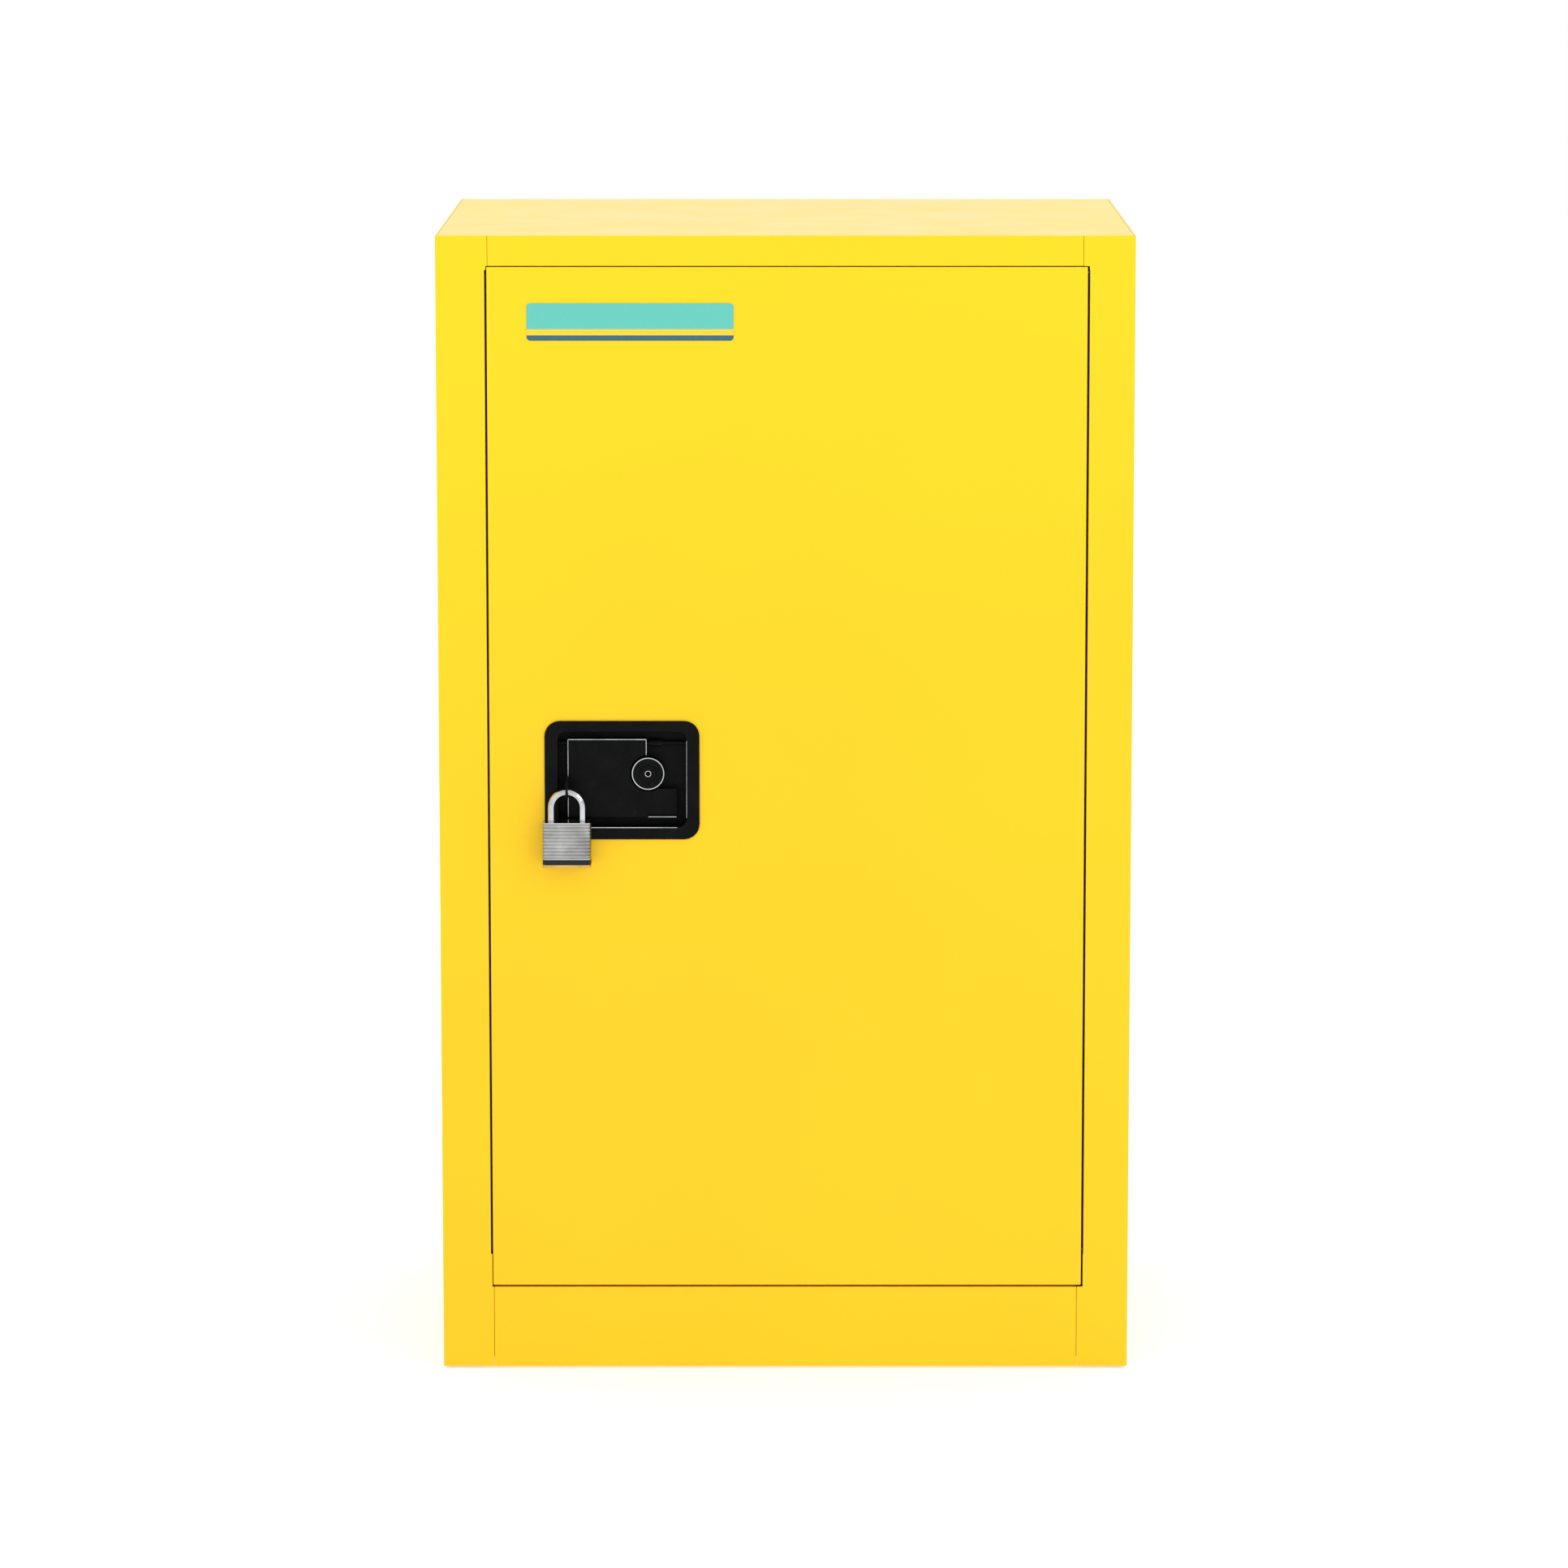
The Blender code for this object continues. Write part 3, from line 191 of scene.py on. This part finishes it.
def printed_film():
    """The blank label: a plain teal band over a thin dark one on yellow film, and no lettering."""
    nodes = Nodes("teal_label_film")
    parts = nodes.tree.nodes.new("ShaderNodeSeparateXYZ")
    nodes.link(nodes.place, parts.inputs["Vector"])
    low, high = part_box("label_plate")
    teal = srgb(94, 197, 181)
    dark = srgb(38, 96, 112)
    gap = srgb(252, 208, 8)
    band = nodes.ramp(nodes.spread(parts.outputs["Z"], 0.0, 1.0, low.z, high.z),
                      [(0.0, dark), (0.14, dark), (0.15, gap), (0.30, gap), (0.31, teal), (1.0, teal)])
    mottled = nodes.mix(0.04, band, nodes.ramp(nodes.noise(300.0, 3.0), [(0.3, dark), (0.7, teal)]))
    nodes.link(mottled, nodes.shader.inputs["Base Color"])
    nodes.link(nodes.spread(nodes.noise(50.0, 3.0), 0.36, 0.50), nodes.shader.inputs["Roughness"])
    nodes.link(nodes.bump(nodes.noise(700.0, 2.0), 0.06, 0.0002), nodes.shader.inputs["Normal"])
    return nodes.material


def floor_paper():
    """White paper that glows a little, so the cabinet's yellow doesn't tint it."""
    nodes = Nodes("floor_paper")
    tone = nodes.ramp(nodes.noise(1.4, 3.0), [(0.2, srgb(212, 213, 216)), (0.8, srgb(218, 219, 222))])
    nodes.link(tone, nodes.shader.inputs["Base Color"])
    nodes.shader.inputs["Roughness"].default_value = 0.9
    nodes.shader.inputs["Emission Color"].default_value = (1.0, 1.0, 1.0, 1.0)
    nodes.shader.inputs["Emission Strength"].default_value = 0.48
    nodes.link(nodes.bump(nodes.noise(90.0, 2.0), 0.03, 0.001), nodes.shader.inputs["Normal"])
    return nodes.material


# The two yellows: the random drift runs between them, and the painted light runs from the first at the
# bottom to the second at the top.
YELLOW_LOW = srgb(250, 195, 2)
YELLOW_HIGH = srgb(252, 214, 4)
MATERIALS = {
    "yellow_enamel": powder_coat("yellow_powder_coat", YELLOW_LOW, YELLOW_HIGH, 0.34),
    "black_enamel": black_enamel("black_powder_coat", 0.25, 0.07),
    "galvanised_steel": plated_steel("galvanised_steel", srgb(150, 152, 155), srgb(206, 208, 210), 0.36,
                                     160.0, 0.55),
    "polished_chrome": plated_steel("polished_chrome", srgb(168, 170, 172), srgb(205, 206, 208), 0.14,
                                    220.0),
    "laminated_steel": plated_steel("laminated_steel", srgb(128, 128, 127), srgb(196, 196, 194), 0.34,
                                    240.0, 0.0, (0.2, 1.0, 6.0)),
    "brass_fitting": plated_steel("machined_brass", srgb(176, 140, 72), srgb(222, 186, 112), 0.26, 200.0),
    "teal_label": printed_film(),
    "black_plastic": black_enamel("moulded_black", 0.45, 0.35),
}
SLOT_OF = {entry["node"]: entry["material_slot"] for entry in frame["record"]["subparts"]}
FOLDED = ("left_side_panel", "right_side_panel", "top_panel", "plinth_panel", "back_panel", "base_panel",
          "left_liner", "right_liner", "sump_tray", "shelf", "door_skin", "door_inner_pan",
          "latch_cover", "left_shelf_bracket", "right_shelf_bracket")
FOLD_WIDTH = 0.0005
SOFT_EDGES = {"handle_dish": 0.0006, "paddle": 0.0004, "lock_housing": 0.0006, "latch_plate": 0.0003,
              "padlock_plug": 0.0003, "lower_vent_cap": 0.0009, "upper_vent_cap": 0.0009,
              "lower_vent_tube": 0.0006, "upper_vent_tube": 0.0006, "side_bolt": 0.0003,
              "top_rod": 0.0003, "bottom_rod": 0.0003, "latch_cam": 0.0004, "ground_nut": 0.0004}
WELD_DISTANCE = 0.00002
SHARP_ANGLE = radians(35)  # a corner sharper than this stays an edge


def dress_nodes():
    """Gives every CAD node its material and, where its edges are bent or broken, a small radius."""
    for name, node in frame["nodes"].items():
        node.data.materials.clear()
        node.data.materials.append(MATERIALS[SLOT_OF[name]])
        width = FOLD_WIDTH if name in FOLDED else SOFT_EDGES.get(name, 0.0)
        if width:
            round_edges(node, width)


def round_edges(node, width):
    """A rounded bend or broken edge, added as modifiers so the solid's own points stay."""
    weld = node.modifiers.new("weld", "WELD")
    weld.merge_threshold = WELD_DISTANCE
    bevel = node.modifiers.new("edge", "BEVEL")
    bevel.width = width
    bevel.segments = 2
    bevel.limit_method = "ANGLE"
    bevel.angle_limit = SHARP_ANGLE
    bevel.use_clamp_overlap = True
    even = node.modifiers.new("flats", "WEIGHTED_NORMAL")
    even.weight = 100
    even.keep_sharp = True


# --- Added detail ----------------------------------------------------------------------------------
# The padlock's case, from its brass base up
BASE_HEIGHT = 0.0024
BUMPER_HEIGHT = 0.0043
END_PLATE = 0.0012  # thickness of the bright plate at each end of the stack
LAMINATIONS = 10
LAMINATION_SHARE = (0.12, 0.88)  # where each plate begins and ends in its pitch
LAMINATION_INSET = 0.0002
CORE_INSET = 0.0007  # the core, behind the case's sides
CORE_END_INSET = 0.0004
CORE_CORNER = 0.0032
LAMINATION_CORNER = 0.0034
CASE_CORNER = 0.0035
LEG_INSET = 0.0029  # from a side of the shackle to the middle of its leg
LEG_HOLE_RADIUS = 0.0033
LEG_HOLE_DEPTH = 0.060
KEY_HOLE_RADIUS = 0.0063
KEY_HOLE_DEPTH = 0.040
PLATE_EDGE = 0.00022
PLATE_SHARP_ANGLE = radians(40)
RIVET_INSET = 0.0042
RIVET_RADIUS = 0.0017
RIVET_HALF_HEIGHT = 0.00051
RIVET_RISE = 0.0004  # the head's middle, above the base's underside

# The key lock
BEZEL_RADIUS = 0.0134
BEZEL_WIRE = 0.0006
BEZEL_DEPTH = 0.0004  # the ring's middle, behind the housing's face
KEYWAY_RADIUS = 0.0024
KEYWAY_WIRE = 0.00035
KEYWAY_DEPTH = 0.0001

# The dark strips of painted shade in the gaps beside the door, from the door's face and edges
SHADE_STRIP_END_GAP = 0.001
LATCH_SHADE_GAP = (0.0018, 0.0006)
LATCH_SHADE_DEPTH = (0.005, 0.012)
HINGE_SHADE_LAP = 0.0012  # behind the door's edge
HINGE_SHADE_INSET = 0.0001
HINGE_SHADE_DEPTH = (0.0082, 0.0088)

# Bare metal on the paddle and the recess
PADDLE_FACE = 0.006  # Painted highlights: bright metal strips along the paddle's and the recess's edges, and the measures they follow
LUG_OVERHANG = 0.0014  # the lug, past the paddle's left edge
PADDLE_FULL_WIDTH = 0.067
PADDLE_LOW_Z = 0.4817
GRIP_X = (-0.1168, -0.0930)
GRIP_PROUD = 0.0035  # the raised lower lip, in front of the paddle's face
GRIP_LINE = (0.0003, 0.0009)  # above the paddle's lower edge
NOTCH_GAP = 0.0017  # between the lock and the paddle's notch
RECESS_LEFT_X = -0.1939
RECESS_RIGHT_X = -0.0843
RECESS_LOW_Z = 0.4740
RECESS_HIGH_Z = 0.5564
RECESS_CORNER = 0.008
HIGHLIGHT_WIDTH = 0.0006
HIGHLIGHT_PROUD = 0.00012
HIGHLIGHT_SIDE_SHARE = 0.7  # upright lines are thinner
HIGHLIGHT_RECESS_SHARE = 0.5
HIGHLIGHT_DEPTH = 0.0004
HIGHLIGHT_RECESS_DEPTH = 0.0003

# The flame arresters' screens
SCREEN_RADIUS = 0.0215
SCREEN_WIRES = 13
SHORTEST_HALF_WIRE = 0.002
WIRE_HALF_WIDTH = 0.00035
WIRE_CORNER = 0.0002
ACROSS_LAYER = (0.0012, 0.0005)  # the wires along X, in front of the arrester
UPRIGHT_LAYER = (0.0006, -0.0001)


def mesh_piece(name, editor, slot, body):
    """Turns the editor's mesh into a named piece with its slot's material, riding on a body."""
    mesh = bpy.data.meshes.new(name)
    editor.to_mesh(mesh)
    editor.free()
    made = bpy.data.objects.new(name, mesh)
    bpy.context.scene.collection.objects.link(made)
    mesh.materials.append(MATERIALS[slot])
    mesh.shade_smooth()
    mesh.set_sharp_from_angle(angle=SHARP_ANGLE)
    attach(made, body)
    return made


def add_rounded_plate(editor, x, y, z, corner, corner_axis=2, segments=5):
    """Adds a box between two values on each axis. The edges along corner_axis are rounded."""
    made = bmesh.ops.create_cube(editor, size=1)["verts"]
    spans = (x, y, z)
    for vertex in made:
        vertex.co = [spans[i][1] if vertex.co[i] > 0 else spans[i][0] for i in range(3)]
    if corner:
        edges = {edge for vertex in made for edge in vertex.link_edges
                 if edge.verts[0].co[corner_axis] != edge.verts[1].co[corner_axis]}
        bmesh.ops.bevel(editor, geom=list(edges), offset=corner, segments=segments, profile=0.5,
                        affect="EDGES")


def laminated_padlock():
    """The case as a stack of steel plates between two bright end plates, in place of the plain block."""
    low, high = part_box("padlock_case")
    stack_low = low.z + BASE_HEIGHT + BUMPER_HEIGHT
    shackle_low, shackle_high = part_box("padlock_shackle")
    legs = (shackle_low.x + LEG_INSET, shackle_high.x - LEG_INSET)
    middle_x = sum(legs) / 2
    middle_y = (shackle_low.y + shackle_high.y) / 2
    case = padlock_plates(low, high, stack_low)
    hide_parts("padlock_case")
    for made in (case, padlock_end_plates(low, high, stack_low)):
        cutter_editor = bmesh.new()
        for x in legs:
            add_upright_rod(cutter_editor, (x, middle_y, high.z), LEG_HOLE_RADIUS, LEG_HOLE_DEPTH, 24)
        add_key_hole(cutter_editor, middle_x, middle_y, low.z)
        cut_with(made, cutter_editor)
        soften(made)
    padlock_base(low, high, middle_x, middle_y)
    padlock_rivets(low, high)


def padlock_plates(low, high, stack_low):
    """The thin plates, and a slightly smaller core that shows as the grooves between them."""
    editor = bmesh.new()
    add_rounded_plate(editor, (low.x + CORE_INSET, high.x - CORE_INSET),
                      (low.y + CORE_INSET, high.y - CORE_INSET),
                      (low.z + CORE_END_INSET, high.z - CORE_END_INSET), CORE_CORNER)
    x = (low.x + LAMINATION_INSET, high.x - LAMINATION_INSET)
    y = (low.y + LAMINATION_INSET, high.y - LAMINATION_INSET)
    pitch = (high.z - stack_low - 2 * END_PLATE) / LAMINATIONS
    for index in range(LAMINATIONS):
        z = [stack_low + END_PLATE + pitch * (index + share) for share in LAMINATION_SHARE]
        add_rounded_plate(editor, x, y, z, LAMINATION_CORNER)
    return mesh_piece("padlock_laminations", editor, "laminated_steel", "padlock_case")


def padlock_end_plates(low, high, stack_low):
    """A bright plate above the thin ones and one below."""
    editor = bmesh.new()
    for bottom, top in ((stack_low, stack_low + END_PLATE), (high.z - END_PLATE, high.z)):
        add_rounded_plate(editor, (low.x, high.x), (low.y, high.y), (bottom, top), CASE_CORNER)
    return mesh_piece("padlock_end_plates", editor, "polished_chrome", "padlock_case")


def add_upright_rod(editor, centre, radius, length, segments):
    """Adds a cylinder whose axis is Z."""
    rod = bmesh.ops.create_cone(editor, cap_ends=True, segments=segments, radius1=radius, radius2=radius,
                                depth=length)["verts"]
    bmesh.ops.translate(editor, verts=rod, vec=centre)


def add_key_hole(editor, x, y, z):
    """Adds the bore for the padlock's plug."""
    add_upright_rod(editor, (x, y, z), KEY_HOLE_RADIUS, KEY_HOLE_DEPTH, 32)


def soften(made):
    """Breaks the edges of a cut plate."""
    bevel = made.modifiers.new("edge", "BEVEL")
    bevel.width = PLATE_EDGE
    bevel.segments = 2
    bevel.limit_method = "ANGLE"
    bevel.angle_limit = PLATE_SHARP_ANGLE


def padlock_base(low, high, middle_x, middle_y):
    """A dark bumper under the plates and a thin brass plate under that."""
    seam = low.z + BASE_HEIGHT
    for name, bottom, top, slot in (("padlock_bumper", seam, seam + BUMPER_HEIGHT, "black_plastic"),
                                    ("padlock_base_plate", low.z, seam, "brass_fitting")):
        editor = bmesh.new()
        add_rounded_plate(editor, (low.x, high.x), (low.y, high.y), (bottom, top), CASE_CORNER)
        made = mesh_piece(name, editor, slot, "padlock_case")
        cutter_editor = bmesh.new()
        add_key_hole(cutter_editor, middle_x, middle_y, low.z)
        cut_with(made, cutter_editor)
        soften(made)


def padlock_rivets(low, high):
    """The four flat heads that show under the base."""
    editor = bmesh.new()
    for x in (low.x + RIVET_INSET, high.x - RIVET_INSET):
        for y in (low.y + RIVET_INSET, high.y - RIVET_INSET):
            add_button(editor, Vector((x, y, low.z + RIVET_RISE)), RIVET_RADIUS, RIVET_HALF_HEIGHT)
    mesh_piece("padlock_rivets", editor, "polished_chrome", "padlock_case")


def add_button(editor, centre, radius, half_height, steps=16, levels=8):
    """Adds a flattened ball whose axis is Z."""
    turns = [2 * pi * step / steps for step in range(steps)]
    loops = []
    for level in range(1, levels):
        lean = pi * level / levels
        reach = radius * sin(lean)
        z = centre.z + half_height * cos(lean)
        loops.append([editor.verts.new((centre.x + reach * cos(turn), centre.y + reach * sin(turn), z))
                      for turn in turns])
    top = editor.verts.new((centre.x, centre.y, centre.z + half_height))
    bottom = editor.verts.new((centre.x, centre.y, centre.z - half_height))
    for step in range(steps):
        after = (step + 1) % steps
        editor.faces.new((top, loops[0][step], loops[0][after]))
        for upper, lower in zip(loops, loops[1:]):
            editor.faces.new((upper[step], lower[step], lower[after], upper[after]))
        editor.faces.new((bottom, loops[-1][after], loops[-1][step]))


def cut_with(target, cutter_editor):
    """Takes the cutter away from the target and keeps the result as the target's own mesh."""
    mesh = bpy.data.meshes.new("cutter")
    cutter_editor.to_mesh(mesh)
    cutter_editor.free()
    cutter = bpy.data.objects.new("cutter", mesh)
    bpy.context.scene.collection.objects.link(cutter)
    modifier = target.modifiers.new("cut", "BOOLEAN")
    modifier.object = cutter
    modifier.operation = "DIFFERENCE"
    modifier.solver = "EXACT"
    modifier.use_self = True
    graph = bpy.context.evaluated_depsgraph_get()
    result = bpy.data.meshes.new_from_object(target.evaluated_get(graph))
    target.modifiers.remove(modifier)
    target.data = result
    bpy.data.objects.remove(cutter)
    result.set_sharp_from_angle(angle=SHARP_ANGLE)


def add_ring(editor, centre, radius, wire, steps=64, sides=12):
    """Adds a torus whose axis is Y."""
    loops = []
    for step in range(steps):
        turn = 2 * pi * step / steps
        loop = []
        for side in range(sides):
            lean = 2 * pi * side / sides
            reach = radius + wire * cos(lean)
            loop.append(editor.verts.new((centre.x + reach * cos(turn), centre.y + wire * sin(lean),
                                          centre.z + reach * sin(turn))))
        loops.append(loop)
    for loop, next_loop in zip(loops, loops[1:] + loops[:1]):
        for side in range(sides):
            after = (side + 1) % sides
            editor.faces.new((loop[side], next_loop[side], next_loop[after], loop[after]))
    bmesh.ops.recalc_face_normals(editor, faces=editor.faces)


def lock_trim():
    """The bright bezel round the dark lock face, and the bright rim of its keyway."""
    low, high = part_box("lock_housing")
    centre_x = (low.x + high.x) / 2
    centre_z = (low.z + high.z) / 2
    editor = bmesh.new()
    add_ring(editor, Vector((centre_x, low.y + BEZEL_DEPTH, centre_z)), BEZEL_RADIUS, BEZEL_WIRE)
    mesh_piece("lock_bezel", editor, "polished_chrome", "door")
    plug_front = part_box("lock_plug")[0].y
    editor = bmesh.new()
    add_ring(editor, Vector((centre_x, plug_front + KEYWAY_DEPTH, centre_z)), KEYWAY_RADIUS, KEYWAY_WIRE,
             40, 8)
    mesh_piece("lock_keyway_rim", editor, "polished_chrome", "lock_plug")


def gap_shade_strips():
    """Dark strips as painted shade in the gaps beside the door: on the latch side's rebate, and over the
    hinge's leaf.
    """
    door_low, door_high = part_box("door_skin")
    leaf_low, leaf_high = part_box("hinge_frame_leaf")
    z = (leaf_low.z + SHADE_STRIP_END_GAP, leaf_high.z - SHADE_STRIP_END_GAP)
    # Painted shade: black strips that fill the gaps beside the door so that they read dark.
    sides = (("latch_side_gap_shade", [door_low.x - gap for gap in LATCH_SHADE_GAP], LATCH_SHADE_DEPTH),
             ("hinge_side_gap_shade", (door_high.x - HINGE_SHADE_LAP, leaf_high.x - HINGE_SHADE_INSET),
              HINGE_SHADE_DEPTH))
    for name, x, depths in sides:
        editor = bmesh.new()
        add_rounded_plate(editor, x, [door_low.y + depth for depth in depths], z, 0)
        mesh_piece(name, editor, "black_plastic", "cabinet")


def painted_edge_highlights():
    """Strips of bright metal along the paddle's and the recess's edges, as painted highlights."""
    paddle_edge_highlights()
    recess_edge_highlights()


def paddle_edge_highlights():
    """Painted highlights along the top, down both sides of the paddle's face, and on its lower lip."""
    paddle_low, paddle_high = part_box("paddle")
    notch_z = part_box("lock_housing")[1].z + NOTCH_GAP
    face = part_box("door_skin")[0].y + PADDLE_FACE
    left = paddle_low.x + LUG_OVERHANG
    right = left + PADDLE_FULL_WIDTH
    top = paddle_high.z
    side_width = HIGHLIGHT_WIDTH * HIGHLIGHT_SIDE_SHARE
    flat = (face - HIGHLIGHT_PROUD, face + HIGHLIGHT_DEPTH)
    grip = (face - GRIP_PROUD - HIGHLIGHT_PROUD, face - GRIP_PROUD + HIGHLIGHT_DEPTH)
    editor = bmesh.new()
    add_rounded_plate(editor, (left, right), flat, (top - HIGHLIGHT_WIDTH, top + HIGHLIGHT_PROUD), 0)
    add_rounded_plate(editor, (left - HIGHLIGHT_PROUD, left + side_width), flat, (PADDLE_LOW_Z, top), 0)
    add_rounded_plate(editor, (right - side_width, right + HIGHLIGHT_PROUD), flat, (notch_z, top), 0)
    add_rounded_plate(editor, GRIP_X, grip, [PADDLE_LOW_Z + rise for rise in GRIP_LINE], 0)
    mesh_piece("paddle_edge_highlights", editor, "galvanised_steel", "paddle")


def recess_edge_highlights():
    """Painted highlights along the bottom and the right side of the recess's rim."""
    dish_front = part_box("handle_dish")[0].y
    lip = (dish_front - HIGHLIGHT_PROUD, dish_front + HIGHLIGHT_RECESS_DEPTH)
    editor = bmesh.new()
    add_rounded_plate(editor, (RECESS_LEFT_X + RECESS_CORNER, RECESS_RIGHT_X - RECESS_CORNER), lip,
                      (RECESS_LOW_Z - HIGHLIGHT_WIDTH, RECESS_LOW_Z), 0)
    add_rounded_plate(editor, (RECESS_RIGHT_X, RECESS_RIGHT_X + HIGHLIGHT_WIDTH * HIGHLIGHT_RECESS_SHARE), lip,
                      (RECESS_LOW_Z + RECESS_CORNER, RECESS_HIGH_Z - RECESS_CORNER), 0)
    mesh_piece("recess_edge_highlights", editor, "galvanised_steel", "door")


def vent_mesh():
    """The woven screen of each flame arrester, inside its tube."""
    for name in ("lower", "upper"):
        low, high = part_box(f"{name}_flame_arrester")
        centre = (low + high) / 2
        across_y = [low.y - depth for depth in ACROSS_LAYER]
        upright_y = [low.y - depth for depth in UPRIGHT_LAYER]
        editor = bmesh.new()
        for index in range(SCREEN_WIRES):
            offset = -SCREEN_RADIUS + 2 * SCREEN_RADIUS * (index + 0.5) / SCREEN_WIRES
            half = max(SHORTEST_HALF_WIRE, (SCREEN_RADIUS**2 - offset**2) ** 0.5)
            along = (-half, half)
            over = (offset - WIRE_HALF_WIDTH, offset + WIRE_HALF_WIDTH)
            add_rounded_plate(editor, [centre.x + value for value in along], across_y,
                              [centre.z + value for value in over], WIRE_CORNER, 0, 2)
            add_rounded_plate(editor, [centre.x + value for value in over], upright_y,
                              [centre.z + value for value in along], WIRE_CORNER, 2, 2)
        mesh_piece(f"{name}_arrester_screen", editor, "galvanised_steel", "cabinet")


# --- Studio ----------------------------------------------------------------------------------------
FLOOR_REACH = 14.0
WORLD_STRENGTH = 1.0
WHITE = (1.0, 1.0, 1.0, 1.0)
SOFTBOXES = (  # name, place, what it points at, size in metres, watts
    ("key_softbox", (2.8, -3.4, 2.6), (0, 0, 0.5), 2.4, 22.0),
    ("fill_softbox", (-3.0, -3.0, 2.0), (0, 0, 0.5), 2.6, 4.0),
    ("top_softbox", (0.0, 0.8, 3.4), (0, 0, 0.9), 2.4, 10.0))
CAMERA_X = -0.0012
CAMERA_DISTANCE = 5.5  # in front of the door's face
CAMERA_HEIGHT = 1.3751
CAMERA_TILT = radians(8.928)  # down from level
LENS = 150.0
SENSOR_WIDTH = 36.0
CLIP_END = 60.0


def studio():
    """A white floor and sky with three large soft lights."""
    editor = bmesh.new()
    bmesh.ops.create_grid(editor, x_segments=1, y_segments=1, size=FLOOR_REACH)
    mesh = bpy.data.meshes.new("studio_floor")
    editor.to_mesh(mesh)
    editor.free()
    floor = bpy.data.objects.new("studio_floor", mesh)
    bpy.context.scene.collection.objects.link(floor)
    mesh.materials.append(floor_paper())

    world = bpy.data.worlds.new("studio_world")
    world.use_nodes = True
    background = world.node_tree.nodes["Background"]
    background.inputs["Color"].default_value = WHITE
    background.inputs["Strength"].default_value = WORLD_STRENGTH
    bpy.context.scene.world = world

    for name, place, target, size, power in SOFTBOXES:
        light = bpy.data.lights.new(name, "AREA")
        light.size = size
        light.energy = power
        lamp = bpy.data.objects.new(name, light)
        lamp.location = place
        lamp.rotation_euler = (Vector(target) - Vector(place)).to_track_quat("-Z", "Y").to_euler()
        bpy.context.scene.collection.objects.link(lamp)


def camera():
    """On the cabinet's middle line, above its top and tilted down, with a long lens and no shift."""
    door_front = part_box("door_skin")[0].y
    data = bpy.data.cameras.new("front_camera")
    data.lens = LENS
    data.sensor_width = SENSOR_WIDTH
    data.clip_end = CLIP_END
    made = bpy.data.objects.new("front_camera", data)
    made.location = (CAMERA_X, door_front - CAMERA_DISTANCE, CAMERA_HEIGHT)
    made.rotation_euler = (pi / 2 - CAMERA_TILT, 0, 0)
    bpy.context.scene.collection.objects.link(made)
    bpy.context.scene.camera = made


def main():
    camera()
    dress_nodes()
    laminated_padlock()
    lock_trim()
    painted_edge_highlights()
    gap_shade_strips()
    vent_mesh()
    studio()
    scene = bpy.context.scene
    scene.view_settings.view_transform = "Standard"


main()
